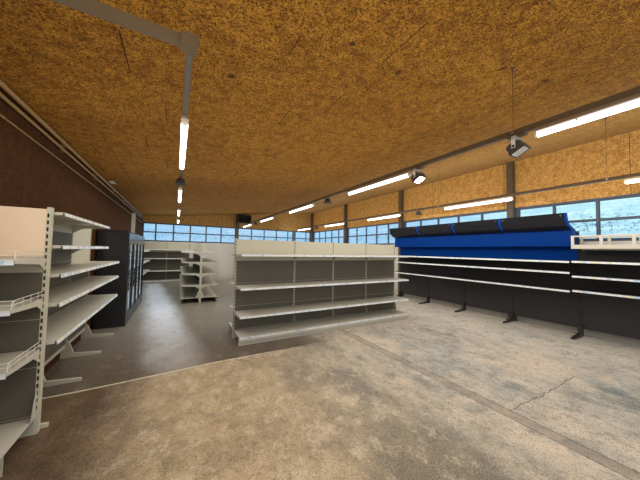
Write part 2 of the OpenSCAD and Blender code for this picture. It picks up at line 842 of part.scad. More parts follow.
// Near run, end bay and far run; the far run has a side panel with a tall post
module left_shelving_frame() {
    side_t = 20;
    panel_v = far_run_v - upright_w / 2 - seat_gap - side_t;
    color("#dcd8c8") {
        at_left_wall(left_run_v + upright_d) {
            run_frame(concat(left_bays, [left_run_bay]), left_run_h);
            run_feet(concat(left_bays, [left_run_bay]), left_run_d);
        }
        at_end_bay() run_frame(end_bay, left_run_h);
        at_left_wall(far_run_v) {
            run_frame(far_bays, far_run_h);
            run_feet(far_bays, left_run_d);
        }
        hall() {
            block(0, panel_v, 0, upright_d + left_run_d, side_t, far_run_h - 60);
            block(190, panel_v, far_run_h - 61, 100, side_t, tall_post_h - far_run_h + 61);
        }
    }
}

// The third near bay carries the lower shelves only
module left_shelving_shelves() {
    low = [left_levels[0], left_levels[1], left_levels[2]];
    color("#d5d2c6") {
        at_left_wall(left_run_v + upright_d) {
            run_shelves(left_bays, left_run_d, left_levels);
            translate([run_length(left_bays), 0, 0]) run_shelves([left_run_bay], left_run_d, low);
        }
        at_end_bay() {
            run_shelves(end_bay, end_bay_d, end_levels);
            run_bases(end_bay, end_bay_d);
        }
        at_left_wall(far_run_v) run_shelves(far_bays, left_run_d, far_levels);
    }
}

// Side outline of the cooler: square at the back, rounded at the front's top
module cooler_side() {
    polygon([[cooler_back, 0], [cooler_nose, 0],
        for (a = [0 : 15 : 90]) [cooler_nose - cooler_r + cooler_r * cos(a),
            cooler_h - cooler_r + cooler_r * sin(a)],
        [cooler_back, cooler_h]]);
}

// Side walls, back, machine plinth and header, bored for the hinge pins
module cooler_cabinet() {
    mid_v = cooler_v + cooler_wall - 1;
    mid_l = cooler_l - 2 * cooler_wall + 2;
    color("#151517") hall() {
        for (v = [cooler_v, cooler_v + cooler_l - cooler_wall]) along_hall(v, cooler_wall) cooler_side();
        block(cooler_back, mid_v, cooler_plinth - 1,
            cooler_wall, mid_l, cooler_h - cooler_header - cooler_plinth + 2);
        difference() {
            along_hall(mid_v, mid_l) {
                translate([cooler_back, 0]) square([cooler_d, cooler_plinth]);
                intersection() {
                    cooler_side();
                    translate([cooler_back, cooler_h - cooler_header]) square([cooler_d, cooler_header]);
                }
            }
            for (k = [1 : cooler_doors]) translate([hinge_u, hinge_v(k), leaf_z - door_gap - pin_reach - 1])
                cylinder(r = hinge_r + pin_gap, h = leaf_h + 2 * (door_gap + pin_reach + 1), $fn = 32);
        }
    }
}

// Near edge and hinge line of door k; the hinge is at the far edge
function leaf_v(k) = cooler_v + cooler_wall + door_gap + (k - 1) * (leaf_w + door_split);
function hinge_v(k) = leaf_v(k) + leaf_w - hinge_in;

module cooler_shelves() {
    color("#c9ccce") hall() for (w = cooler_levels)
        block(cooler_back + cooler_wall, cooler_v + cooler_wall, w,
            cooler_d - cooler_wall - 70, cooler_l - 2 * cooler_wall, 14);
}

// Door leaf: a frame with a rounded hinge edge, two pins and a bar handle
module cooler_door(k) {
    u0 = cooler_front + door_gap;
    handle_v = leaf_v(k) + door_bar / 2 - 8;
    handle_z = leaf_z + leaf_h * 0.36;
    color("#1d1d20") hall() {
        difference() {
            translate([u0, leaf_v(k), leaf_z]) {
                cube([door_t, leaf_w - hinge_in, leaf_h]);
                translate([hinge_in, leaf_w - hinge_in, 0]) cylinder(r = hinge_in, h = leaf_h, $fn = 48);
            }
            translate([u0 - 1, leaf_v(k) + door_bar, leaf_z + door_bar])
                cube([door_t + 2, leaf_w - 2 * door_bar, leaf_h - 2 * door_bar]);
        }
        for (w = [leaf_z - door_gap - pin_reach, leaf_z + leaf_h - 1])
            translate([hinge_u, hinge_v(k), w]) cylinder(r = hinge_r, h = door_gap + pin_reach + 1, $fn = 32);
        for (w = [0, handle_h - 16])
            translate([u0 + door_t - 1, handle_v, handle_z + w]) cube([handle_out + 2, 16, 16]);
        translate([u0 + door_t + handle_out, handle_v, handle_z - 20]) cube([12, 16, handle_h + 40]);
    }
}

module cooler_glass(k) {
    color("#a8c6cf") hall()
        block(cooler_front + door_gap + door_t / 2 - 9, leaf_v(k) + door_bar, leaf_z + door_bar,
            18, leaf_w - 2 * door_bar, leaf_h - 2 * door_bar);
}

module at_cross() {
    hall() translate([cross_run_u, cross_run_v, 0]) children();
}

module cross_gondola_frame() {
    color("#d8d4c4") at_cross() run_frame(cross_bays, cross_run_h);
}

// Turns a run round so that its shelves stand on the frame's other face
module other_face() {
    translate([0, upright_d, 0]) mirror([0, 1, 0]) children();
}

module cross_gondola_shelves() {
    color("#d5d2c6") at_cross() {
        run_shelves(cross_bays, gondola_d, cross_levels);
        run_bases(cross_bays, gondola_d);
        other_face() {
            run_shelves(cross_bays, gondola_d, cross_levels);
            run_bases(cross_bays, gondola_d);
        }
    }
}

module at_aisle() {
    hall() translate([aisle_run_u + upright_d / 2, aisle_run_v, 0]) rotate([0, 0, 90]) children();
}

module aisle_gondola_frame() {
    color("#d8d4c4") at_aisle() run_frame(aisle_bays, aisle_run_h);
}

module aisle_gondola_shelves() {
    color("#d5d2c6") at_aisle() {
        run_shelves(aisle_bays, gondola_d, aisle_levels);
        run_bases(aisle_bays, gondola_d);
        other_face() {
            run_shelves(aisle_bays, gondola_d, aisle_levels);
            run_bases(aisle_bays, gondola_d);
        }
    }
}

// The wall shelving faces the hall, so its x runs from the back towards the near end
module at_right_wall(v) {
    hall() translate([wall_run_back, v, 0]) rotate([0, 0, -90]) children();
}

module at_crown() {
    at_right_wall(canopy_v - upright_w) children();
}

module wall_shelving_frame() {
    color("#222326") {
        at_right_wall(canopy_end) {
            run_frame(canopy_bays, wall_run_h);
            run_feet(canopy_bays, wall_run_d);
        }
        at_crown() {
            run_frame(crown_bays, crown_foot - seat_gap);
            run_feet(crown_bays, wall_run_d);
        }
    }
}

module wall_shelving_shelves() {
    color("#2b2c2f") {
        at_right_wall(canopy_end) run_shelves(canopy_bays, wall_run_d, canopy_levels);
        at_crown() run_shelves(crown_bays, wall_run_d, crown_levels);
    }
}

// A point of a canopy's bow, a degrees down from its upright head, at radius q
function on_bow(a, q) = [canopy_tuck - wall_run_d + canopy_r * cos(canopy_sweep) - q * cos(a),
    canopy_foot + canopy_r * sin(canopy_sweep) - q * sin(a)];

// Bow of a canopy, leaning out at its head and tucked back at its foot
module canopy_bow(r, t) {
    steps = 9;
    polygon(concat([for (i = [0 : steps]) on_bow(i * canopy_sweep / steps, r)],
        [for (i = [steps : -1 : 0]) on_bow(i * canopy_sweep / steps, r - t)]));
}

module sign_panels() {
    color("#17181b") at_right_wall(canopy_end)
        for (i = [0 : canopy_n - 1])
            along_run(i * canopy_bay + sign_gap / 2, canopy_bay - sign_gap) canopy_bow(canopy_r, sign_t);
}

// Blue pieces behind the sign panels, each seated on the next: skin, fascia, back board and ribs
module canopy_backing() {
    length = run_length(canopy_bays);
    inner = canopy_r - sign_t - seat_gap;
    rib_r = inner - backing_t - seat_gap;
    foot = on_bow(canopy_sweep, inner);
    fascia_y = foot.x + 2;
    rib_y = fascia_y + backing_t + seat_gap;
    board_y = -backing_t - seat_gap;
    steps = 9;
    color("#1458a8") at_right_wall(canopy_end) {
        along_run(0, length) canopy_bow(inner, backing_t);
        translate([0, fascia_y, fascia_foot]) cube([length, backing_t, foot.y - seat_gap - fascia_foot]);
        translate([0, -backing_t, board_foot]) cube([length, backing_t, wall_run_h - board_foot]);
        for (i = [0 : canopy_n]) {
            shift = i == 0 ? 0 : i == canopy_n ? rib_t : rib_t / 2;
            translate([i * canopy_bay - shift, 0, 0]) along_run(0, rib_t) polygon(concat(
                [for (j = [0 : steps]) on_bow(j * canopy_sweep / steps, rib_r)],
                [[rib_y, foot.y + backing_t + 1], [rib_y, fascia_foot], [board_y, fascia_foot], [board_y, foot.y - 40]],
                [for (j = [steps : -1 : 0]) on_bow(j * canopy_sweep / steps, rib_r - 60)]));
        }
    }
}

// Cream tray on top of the near shelving, with posts and a top rail along both edges
module shelf_crown() {
    length = run_length(crown_bays);
    posts = 6;
    color("#d9cfb4") at_crown() translate([0, 0, crown_foot]) {
        translate([0, -wall_run_d, 0]) cube([length, wall_run_d + upright_d, 12]);
        for (y = [-wall_run_d, upright_d - crown_t]) {
            translate([0, y, 0]) cube([length, crown_t, crown_tray]);
            for (i = [0 : posts]) translate([i * (length - crown_post) / posts, y, crown_tray - 1])
                cube([crown_post, crown_t, crown_h - crown_tray - 20]);
            translate([0, y, crown_h - 26]) cube([length, crown_t, 26]);
        }
    }
}

module at_back_wall() {
    hall() translate([back_run_u, hall_l - upright_d - 5, 0]) children();
}

module back_shelving_frame() {
    color("#d8d4c4") at_back_wall() run_frame(back_bays, sill_h - 50);
}

module back_shelving_shelves() {
    color("#d5d2c6") at_back_wall() {
        run_shelves(back_bays, back_run_d, back_levels);
        run_bases(back_bays, back_run_d);
    }
}

floor_slab();
left_wall();
back_wall();
right_wall();
window_frames();
window_glass();
wall_boards();
wall_posts();
ceiling_boards();
roof_beams();
roof_deck();
roof_edge_trim();
roof_gutter();
light_trunks();
trunk_fittings();
lamp_trays();
lamp_diffusers();
trunk_hangers();
loudspeakers();
flood_yoke(flood_1_v);  // flood_yoke_1
flood_head(flood_1_v);  // flood_head_1
flood_yoke(flood_2_v);  // flood_yoke_2
flood_head(flood_2_v);  // flood_head_2
heating_pipes();
fan_heater();
left_shelving_frame();
left_shelving_shelves();
cooler_cabinet();
cooler_shelves();
cooler_door(1);  // cooler_door_1
cooler_door(2);  // cooler_door_2
cooler_door(3);  // cooler_door_3
cooler_door(4);  // cooler_door_4
cooler_glass(1);  // cooler_glass_1
cooler_glass(2);  // cooler_glass_2
cooler_glass(3);  // cooler_glass_3
cooler_glass(4);  // cooler_glass_4
aisle_gondola_frame();
aisle_gondola_shelves();
cross_gondola_frame();
cross_gondola_shelves();
wall_shelving_frame();
wall_shelving_shelves();
sign_panels();
canopy_backing();
shelf_crown();
back_shelving_frame();
back_shelving_shelves();
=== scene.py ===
# %% [markdown]
# # A supermarket's sales hall
# This lesson dresses a room that was built in CAD: a long hall under a roof of one pitch, with a ceiling of chip
# boards, ribbon windows on two sides, lines of tube lamps and steel shelving. The CAD model gives every solid its
# true size. Here each one gets its finish, and the small things that CAD leaves out are added: price rails, slots
# in the uprights, hanger clips, louvres and screws.

import math
from collections import namedtuple

import bmesh
import bpy
import numpy as np
from mathutils import Matrix, Vector


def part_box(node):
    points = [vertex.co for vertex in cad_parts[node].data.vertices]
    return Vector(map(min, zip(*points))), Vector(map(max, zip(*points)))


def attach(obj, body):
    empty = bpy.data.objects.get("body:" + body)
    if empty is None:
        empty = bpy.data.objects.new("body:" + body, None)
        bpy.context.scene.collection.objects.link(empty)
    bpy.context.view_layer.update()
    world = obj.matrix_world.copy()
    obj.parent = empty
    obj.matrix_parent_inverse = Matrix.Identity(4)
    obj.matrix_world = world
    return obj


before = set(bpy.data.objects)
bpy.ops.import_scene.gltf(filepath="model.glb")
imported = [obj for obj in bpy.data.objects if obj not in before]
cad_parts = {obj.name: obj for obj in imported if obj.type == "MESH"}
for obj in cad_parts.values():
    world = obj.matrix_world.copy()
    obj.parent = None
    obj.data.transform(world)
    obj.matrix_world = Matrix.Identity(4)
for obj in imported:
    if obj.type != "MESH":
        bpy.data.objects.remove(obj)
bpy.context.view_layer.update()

# %% [markdown]
# ## Places in the hall
# A room is easiest to describe from one corner: u is the distance from the left wall, v the distance from the open
# near end, and w the height above the floor. The floor slab's box tells where that corner lies in the model.

# %% Hall coordinates
WALL = 0.24
slab_low, slab_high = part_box("floor_slab")
CORNER = np.array([slab_low.x + WALL, slab_low.y, slab_high.z])
HALL_W = slab_high.x - WALL - CORNER[0]
HALL_L = slab_high.y - WALL - CORNER[1]
CEIL_LOW, CEIL_RISE = 3.2, 0.987
SLOPE = CEIL_RISE / HALL_W
X, Y, Z = np.eye(3)  # the directions of u, v and w


def at(u, v, w):
    """The point u, v, w of the hall in the model's own frame."""
    return CORNER + np.array([u, v, w])


def ceiling(u):
    """Height of the ceiling at u: it rises evenly from the left wall to the right one."""
    return CEIL_LOW + SLOPE * u


print("hall", round(HALL_W, 3), "x", round(HALL_L, 3))

# %% [markdown]
# ## The camera
# The picture was taken with a very wide lens, at standing height, from beside the left shelves. Fitting the hall's
# own straight lines gave the turn to the right, the slight upward tip and the roll.

# %% Camera
EYE = at(1.47, 0.522, 1.706)
TURN, TIP, ROLL = (math.radians(a) for a in (29.444, 2.464, 1.083))
SENSOR, FOCAL_PIXELS, PICTURE_PIXELS = 36, 253.85, 640


def looking(turn, tip, roll):
    """Right, up and forward axes: forward is turned from +Y towards +X and tipped up, then the others are rolled."""
    forward = np.array([math.sin(turn) * math.cos(tip), math.cos(turn) * math.cos(tip), math.sin(tip)])
    right = np.array([math.cos(turn), -math.sin(turn), 0.0])
    up = np.cross(right, forward)
    return math.cos(roll) * right + math.sin(roll) * up, math.cos(roll) * up - math.sin(roll) * right, forward


right, up, forward = looking(TURN, TIP, ROLL)
camera_data = bpy.data.cameras.new("camera")
camera_data.sensor_width = SENSOR
camera_data.lens = FOCAL_PIXELS / PICTURE_PIXELS * SENSOR
camera_data.clip_start, camera_data.clip_end = 0.05, 200
camera = bpy.data.objects.new("camera", camera_data)
turned_view = Matrix(np.column_stack([right, up, -forward]))
camera.matrix_world = Matrix.LocRotScale(Vector(EYE), turned_view, None)
bpy.context.scene.collection.objects.link(camera)
bpy.context.scene.camera = camera
print("camera at", EYE.round(3))

# %% [markdown]
# ## Shader maths as Python expressions
# A finish is mostly arithmetic on the surface's coordinates: bands, spots, joints and noise. Node trees written node
# by node are hard to read, so one small class wraps a socket and lets + - * / add the Math nodes.

# %% Numbers
class Number:
    """One number of a shader: sums and products of it add Math nodes."""

    def __init__(self, finish, socket):
        self.finish, self.socket = finish, socket

    def math(self, operation, *values):
        return self.finish.number("ShaderNodeMath", {"operation": operation}, dict(enumerate(values)))

    def __add__(self, other): return self.math("ADD", self, other)
    def __radd__(self, other): return self.math("ADD", other, self)
    def __sub__(self, other): return self.math("SUBTRACT", self, other)
    def __rsub__(self, other): return self.math("SUBTRACT", other, self)
    def __mul__(self, other): return self.math("MULTIPLY", self, other)
    def __rmul__(self, other): return self.math("MULTIPLY", other, self)
    def __truediv__(self, other): return self.math("DIVIDE", self, other)
    def floor(self): return self.math("FLOOR", self)
    def part(self): return self.math("FRACT", self)
    def size(self): return self.math("ABSOLUTE", self)
    def above(self, limit): return self.math("GREATER_THAN", self, limit)
    def most(self, other): return self.math("MAXIMUM", self, other)
    def power(self, other): return self.math("POWER", self, other)

    def step(self, start, end):
        """0 before start, 1 after end, with a soft turn between."""
        values = {"Value": self, "From Min": start, "From Max": end}
        return self.finish.number("ShaderNodeMapRange", {"interpolation_type": "SMOOTHSTEP"}, values)


print("Number:", *[name for name in vars(Number) if name[0] != "_"])

# %% [markdown]
# A finish starts from the surface shader of a new material. Each of its methods adds one kind of node and hands
# back the result. It also keeps the colour so far, so that dust, joints and spots can be laid over it in turn.

# %% Finishes
class Finish:
    """One material under construction, with its nodes and the colour so far."""

    def __init__(self, name):
        self.material = bpy.data.materials.new(name)
        self.material.use_nodes = True
        self.tree = self.material.node_tree
        self.shader = self.tree.nodes["Principled BSDF"]
        self.place = self.node("ShaderNodeTexCoord").outputs["Object"]
        apart = self.node("ShaderNodeSeparateXYZ", {}, {0: self.place})
        self.x, self.y, self.z = (Number(self, apart.outputs[i]) for i in range(3))
        self.colour = None

    # The place in hall coordinates
    u = property(lambda self: self.x - CORNER[0])
    v = property(lambda self: self.y - CORNER[1])
    w = property(lambda self: self.z - CORNER[2])

    def plug(self, socket, value):
        """Links a socket to another one, or gives it a value."""
        if isinstance(value, Number):
            value = value.socket
        if isinstance(value, bpy.types.NodeSocket):
            self.tree.links.new(value, socket)
        elif socket.type == "RGBA" and len(value) == 3:
            socket.default_value = (*value, 1)
        else:
            socket.default_value = value

    def node(self, kind, settings=None, values=None):
        """Adds a node: its settings first, then the values or links of its sockets."""
        node = self.tree.nodes.new(kind)
        for key, value in (settings or {}).items():
            if key == "hold":
                node.color_ramp.interpolation = "CONSTANT"
            elif key == "stops":
                ramp = node.color_ramp.elements
                while len(ramp) < len(value):
                    ramp.new(0.5)
                for stop, (position, colour) in zip(ramp, value):
                    stop.position, stop.color = position, (*colour, 1)
            else:
                setattr(node, key, value)
        for key, value in (values or {}).items():
            self.plug(node.inputs[key], value)
        return node

    def number(self, kind, settings=None, values=None):
        return Number(self, self.node(kind, settings, values).outputs[0])

    def stretched(self, x, y, z):
        """The place with each axis multiplied, so that a pattern on it is drawn out along the others."""
        values = {0: self.place, 1: (x, y, z)}
        return self.node("ShaderNodeVectorMath", {"operation": "MULTIPLY"}, values).outputs[0]

    def noise(self, scale, detail=2.0, rough=0.5, place=None):
        values = {"Vector": place or self.place, "Scale": scale, "Detail": detail, "Roughness": rough}
        return self.number("ShaderNodeTexNoise", {}, values)

    def chance(self, a, b):
        """A number from 0 to 1 that stays the same for one pair of whole numbers."""
        pair = self.node("ShaderNodeCombineXYZ", {}, {0: a, 1: b}).outputs[0]
        return self.number("ShaderNodeTexWhiteNoise", {"noise_dimensions": "3D"}, {"Vector": pair})

    def blend(self, amount, first, second, kind="MIX"):
        """Colour first where amount is 0 and second where it is 1."""
        settings = {"data_type": "RGBA", "blend_type": kind, "clamp_factor": True}
        return self.node("ShaderNodeMix", settings, {0: amount, 6: first, 7: second}).outputs[2]

    def over(self, amount, tone):
        """Lays a tone over the colour so far."""
        self.colour = self.blend(amount, self.colour, tone)

    def times(self, amount, tone):
        """Multiplies the colour so far by a tone."""
        self.colour = self.blend(amount, self.colour, tone, "MULTIPLY")

    def ramp(self, amount, *stops):
        return self.node("ShaderNodeValToRGB", {"stops": stops}, {0: amount}).outputs[0]

    def bump(self, height, distance, strength=1.0):
        values = {"Height": height, "Distance": distance, "Strength": strength}
        self.plug(self.shader.inputs["Normal"], self.node("ShaderNodeBump", {}, values).outputs[0])

    def set(self, **values):
        """Sets or links sockets of the surface shader, such as roughness, with the colour so far as its base."""
        if self.colour and "base_color" not in values:
            values["base_color"] = self.colour
        for key, value in values.items():
            name = key.replace("_", " ").title().replace("Ior", "IOR")
            self.plug(self.shader.inputs[name], value)
        return self


print("Finish:", *[name for name in vars(Finish) if name[0] != "_"])

# %% [markdown]
# Two patterns return in many finishes: a line that comes back at an even pitch, such as the joints of boards, and
# the distance from a spot. Dressing a node changes only its slots, never the mesh that came from CAD.

# %% Patterns and slots
ONCE = 40.0  # a pitch longer than the hall, for a line that doesn't come back


def line(offset, pitch, start, width):
    """A joint that comes back every pitch: 1 within half a width of start, start + pitch and so on."""
    near = ((offset - start) / pitch + 0.5).part() - 0.5
    return 1 - (near * pitch).size().step(width * 0.35, width * 0.65)


def distance(u, v, middle):
    """Root of du^2 + dv^2."""
    return ((u - middle[0]).power(2) + (v - middle[1]).power(2)).power(0.5)


def scaled(tone, factor):
    """Each part of the tone times the factor."""
    return tuple(c * factor for c in tone)


def dress(finish, *nodes):
    """Gives CAD nodes one finish."""
    for node in nodes:
        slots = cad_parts[node].data.materials
        slots.clear()
        slots.append(finish.material)
        print(finish.material.name, "on", node)


print("patterns: line, distance")

# %% [markdown]
# ## Chip board
# Ceiling and upper walls are raw wood-chip board: golden-brown flakes with short dark gaps that run all ways. On the
# ceiling the boards are about half a metre wide and two metres long, laid across the hall, and every second row
# starts about half a board later. The shift of each row was read from the joints that show, so the rows keep it as a
# small table: a colour ramp with one constant step for each row. A few dark, ragged marks lie where the real ones do.

# %% Chip board
BOARD_W, BOARD_L, FIRST_ROW = 0.52, 2.06, 2.33
# Where the joints of a row lie, in metres from the left wall, from the row of v = -0.27 on
ROW_SHIFT = (1.21, 0.35, 1.12, 0.18, 1.08, 0.22, 1.04, 0.6, 1.3, 0.05, 1.015, 0.31, 1.25, 0.16, 0.93, 0.44,
             1.18, 0.09, 1.36, 0.27, 1.02, 0.52, 1.14, 0.2, 1.29, 0.38, 0.98, 0.13, 1.22, 0.41, 1.07, 0.25)
ROWS_BEFORE = 5
MARKS = (1.88, 3.07, 0.04), (3.4, 2.37, 0.035), (4.4, 1.85, 0.045), (5.17, 1.76, 0.03), (2.13, 5.4, 0.025)


def chips(name, tone_low, tone_high, gap=0.2):
    """A finish with the colour and relief of the chips. Gaps are where either of two fine noises is low: one is drawn
    out along x, the other along y. The flakes' tone comes from three coarser ones."""
    finish = Finish(name)
    one = finish.noise(78, 2, 0.62, finish.stretched(0.55, 1.5, 1.0))
    other = finish.noise(78, 2, 0.62, finish.stretched(1.5, 0.55, 1.4))
    coarse = finish.noise(38, 3, 0.65)
    mottle = finish.noise(9, 4, 0.65)
    gaps = (1 - one.step(0.36, 0.45)).most(1 - other.step(0.36, 0.45))
    flakes = (one * 0.8 + coarse * 1.4 + mottle * 1.0 - 1.1).step(0.1, 0.9)
    finish.colour = finish.blend(flakes, tone_low, tone_high)
    finish.over(gaps * 0.88, scaled(tone_low, gap))
    finish.over((1 - mottle.step(0.36, 0.5)) * 0.25, tone_low)
    finish.times(finish.noise(0.8, 3, 0.5) * 0.3, (0.72, 0.66, 0.6))
    finish.bump(one * 0.5 + coarse * 0.4 - gaps * 0.5, 0.004, 0.7)
    return finish


def ceiling_finish():
    """Place along a row = u / length - the row's shift: boards end where it is whole, and rows meet where v is."""
    finish = chips("ceiling_chip_board", (0.175, 0.066, 0.0075), (0.47, 0.225, 0.027))
    u, v = finish.u, finish.v
    row, count = ((v - FIRST_ROW) / BOARD_W).floor(), len(ROW_SHIFT)
    table = [(k / count, (shift / BOARD_L,) * 3) for k, shift in enumerate(ROW_SHIFT)]
    place_in_table = {0: (row + (ROWS_BEFORE + 0.5)) / count}
    along = u / BOARD_L - finish.number("ShaderNodeValToRGB", {"hold": True, "stops": table}, place_in_table)
    finish.times(finish.chance(along.floor(), row) * 0.3, (0.62, 0.55, 0.45))
    # Painted light: paler towards the right wall and the back, where daylight from the windows falls
    finish.over(u.step(5.2, 8.6) * 0.2 + v.step(4.0, 14.0) * 0.08, (0.66, 0.47, 0.235))
    # Painted shade: the ceiling beyond the middle lamp line is darkened
    finish.times(u.step(4.4, 5.4), (0.8, 0.8, 0.8))
    to_end = (0.5 - (along.part() - 0.5).size()) * BOARD_L
    open_end = finish.chance(row, (along + 0.5).floor()).step(0.15, 0.65)
    ends = (1 - to_end.step(0.003, 0.008)) * (0.25 + 0.7 * open_end)
    rows = line(v - FIRST_ROW, BOARD_W, 0.0, 0.008) * 0.28
    wall_seam = line(u, ONCE, 0.504, 0.008) * v.above(4.9) * 0.7
    knots = 1 - finish.noise(3.1, 2, 0.5).step(0.215, 0.235)
    ragged = (finish.noise(16, 3, 0.7) - 0.5) * 0.09
    for *middle, wide in MARKS:
        knots = knots.most(1 - (distance(u, v, middle) + ragged).step(wide * 0.6, wide * 1.3))
    finish.over(ends.most(rows).most(wall_seam).most(knots * 0.8), (0.03, 0.012, 0.003))
    return finish.set(roughness=0.9, specular_ior_level=0.2)


def wall_board_finish():
    """Paler boards; the left wall is darkened as painted shade, and the back wall is cooler in tone."""
    finish = chips("wall_chip_board", (0.37, 0.17, 0.033), (0.78, 0.455, 0.145), 0.38)
    u, v = finish.u, finish.v
    on_back = line(u, 2.3, 1.3, 0.01) * u.step(0.01, 0.02) * (1 - u.step(9.2, 9.24))
    back = (v - HALL_L).step(-0.02, 0.0)
    # Painted shade: the left wall is darkened
    finish.times((1 - u.step(0.0, 0.02)) * (1 - back) * 0.95, (0.08, 0.036, 0.012))
    finish.times(back * 0.6, (0.7, 0.82, 1.0))
    finish.over(line(v, 2.23, 1.835, 0.01).most(on_back) * 0.85, (0.05, 0.022, 0.008))
    return finish.set(roughness=0.88, specular_ior_level=0.25)


dress(ceiling_finish(), "ceiling_boards")
dress(wall_board_finish(), "wall_boards")
print("boards of", BOARD_W, "x", BOARD_L)

# %% [markdown]
# ## The concrete floor
# Two floors meet in the hall. In front it is rough concrete whose sand and stones show, warm beige, scuffed and
# patched; it is paler on the right, partly as painted light, and darker beside the left shelves, where a shadow is
# painted. Behind a straight edge, 4.7 m from the open end, it is smoother and greyer, and pale and bluish along the
# aisle towards the back, which is painted daylight and reflection of the windows. A filled strip runs along the hall,
# and one crack wanders off from it. Clouds, patches and blots are noise at three sizes, stones and sand are two finer
# ones, and the crack is a line whose place is pushed about by noise.

# %% Concrete floor
EDGE_V, STRIP_U, STRIP_W, CRACK_V = 4.59, 4.645, 0.14, 1.965
DAMP = (5.4, 3.2, 1.0), (6.5, 1.45, 0.6)


def floor_finish():
    """Rough and smooth floor, mixed by the distance behind a straight edge, then the grain of both."""
    finish = Finish("concrete_floor")
    u, v = finish.u, finish.v
    clouds = finish.noise(0.5, 4, 0.6)
    patches = finish.noise(1.8, 6, 0.7, finish.stretched(1.0, 0.62, 1))
    blots = finish.noise(6.5, 5, 0.74, finish.stretched(1.0, 0.8, 1))
    stones = finish.noise(27, 3, 0.7)
    sand = finish.noise(80, 3, 0.75)
    wobble = (finish.noise(1.3, 3, 0.6) - 0.5) * 0.1
    behind = v - EDGE_V - (u - 0.45).step(0.0, 1.8) * 0.11 + wobble * 0.3
    smooth = behind.step(-0.012, 0.012) * (1 - u.step(3.4, 4.4))
    # Rough floor: warm on the left, paler on the right, partly as painted light, dull by the camera and damp in two
    # places
    warm = finish.ramp(clouds * 0.35 + patches * 0.65, (0.34, (0.24, 0.175, 0.105)),
                       (0.5, (0.465, 0.342, 0.197)), (0.64, (0.64, 0.49, 0.3)))
    pale = finish.ramp(clouds * 0.25 + patches * 0.75, (0.37, (0.225, 0.245, 0.232)),
                       (0.46, (0.425, 0.408, 0.35)), (0.6, (0.64, 0.545, 0.43)))
    finish.colour = finish.blend(u.step(1.8, 5.2), warm, pale)
    # Painted light: lightened towards the right wall
    finish.over(u.step(6.4, 7.8) * 0.4, (0.8, 0.76, 0.68))
    finish.times(u.step(2.6, 3.3) * (1 - u.step(3.6, 4.0)) * (1 - v.step(2.0, 3.0)), (0.5, 0.52, 0.52))
    for *middle, wide in DAMP:
        far = distance(u, v, middle) + (patches - 0.5) * 1.2
        finish.times(1 - far.step(wide * 0.3, wide), (0.78, 0.86, 0.93))
    # Smooth floor: paler and bluer towards the back, painted daylight and reflection of the windows, and darker
    # beside that pale track
    painted_daylight_ramp = finish.ramp(v / 14 + (patches - 0.5) * 0.15, (0.34, (0.29, 0.262, 0.228)),
                       (0.44, (0.5, 0.51, 0.53)), (0.62, (0.8, 0.86, 0.96)))
    beside = (u - 2.03 + v * 0.1 + (patches - 0.5) * 0.4).size().step(0.1, 0.55)
    finish.over(smooth, finish.blend(beside, painted_daylight_ramp, (0.3, 0.255, 0.185), "MULTIPLY"))
    # Grain of both, weaker where it is smooth
    rough = 1 - smooth * 0.15
    finish.over(blots.step(0.5, 0.66) * 0.5 * (1 - smooth * 0.75), (0.72, 0.61, 0.47))
    finish.over((1 - blots.step(0.34, 0.48)) * 0.5 * rough, (0.2, 0.165, 0.125))
    grain = (1 - sand.step(0.36, 0.5)) * 0.62 + (1 - stones.step(0.36, 0.48)) * 0.35
    finish.over(grain * (1 - smooth * 0.45), (0.13, 0.1, 0.068))
    finish.over(sand.step(0.55, 0.68) * 0.5 * rough, (0.86, 0.76, 0.6))
    # Painted shadow: darker beside the left shelves
    finish.times((1 - u.step(0.65, 1.4)) * (1 - smooth), (0.3, 0.25, 0.21))
    # The edge between them, the strip with its spilt filler, and the crack
    near_edge = 1 - u.step(2.7, 3.2)
    lip = (1 - (behind + 0.022).size().step(0.008, 0.026)) * near_edge * blots.step(0.3, 0.5)
    finish.over(lip * 0.7, (0.72, 0.64, 0.5))
    shadow_line = (1 - (behind - 0.01).size().step(0.002, 0.01)) * near_edge
    edge = u + wobble * 0.12
    strip_edges = line(edge, ONCE, 4.572, 0.012).most(line(edge, ONCE, 4.718, 0.014))
    finish.over((1 - (u - 4.6).size().step(0.05, 0.3)) * blots.step(0.5, 0.62) * 0.45, (0.72, 0.58, 0.42))
    finish.over(line(u, ONCE, STRIP_U, STRIP_W) * 0.5, (0.25, 0.205, 0.16))
    push = (finish.noise(5.0, 6, 0.62) - 0.5) * 0.13
    path = v - CRACK_V + (u - 4.72).step(0.15, 0.8) * 0.035 + push
    crack = (1 - path.size().step(0.0012, 0.006)) * u.step(4.71, 4.73) * (1 - u.step(6.3, 6.6))
    dark = crack.most(strip_edges * 0.75).most(shadow_line * 0.6)
    finish.over(dark, (0.075, 0.055, 0.04))
    finish.bump(patches * 0.2 + sand * 0.25 + stones * 0.2 - dark * 0.6 - smooth * 0.2, 0.006, 0.7)
    return finish.set(roughness=0.58 + blots * 0.2 - smooth * 0.3)


dress(floor_finish(), "floor_slab")

# %% [markdown]
# ## Painted and plain metals
# Posts, trunking, shelving, lamps and the cooler are painted steel. Paint on steel is never one flat colour: it
# carries dust, a faint orange-peel, and rubbed spots. One function makes all of them, with the tone, the gloss and
# the amount of dust as its inputs.

# %% Paint
DUST = (0.45, 0.4, 0.33)


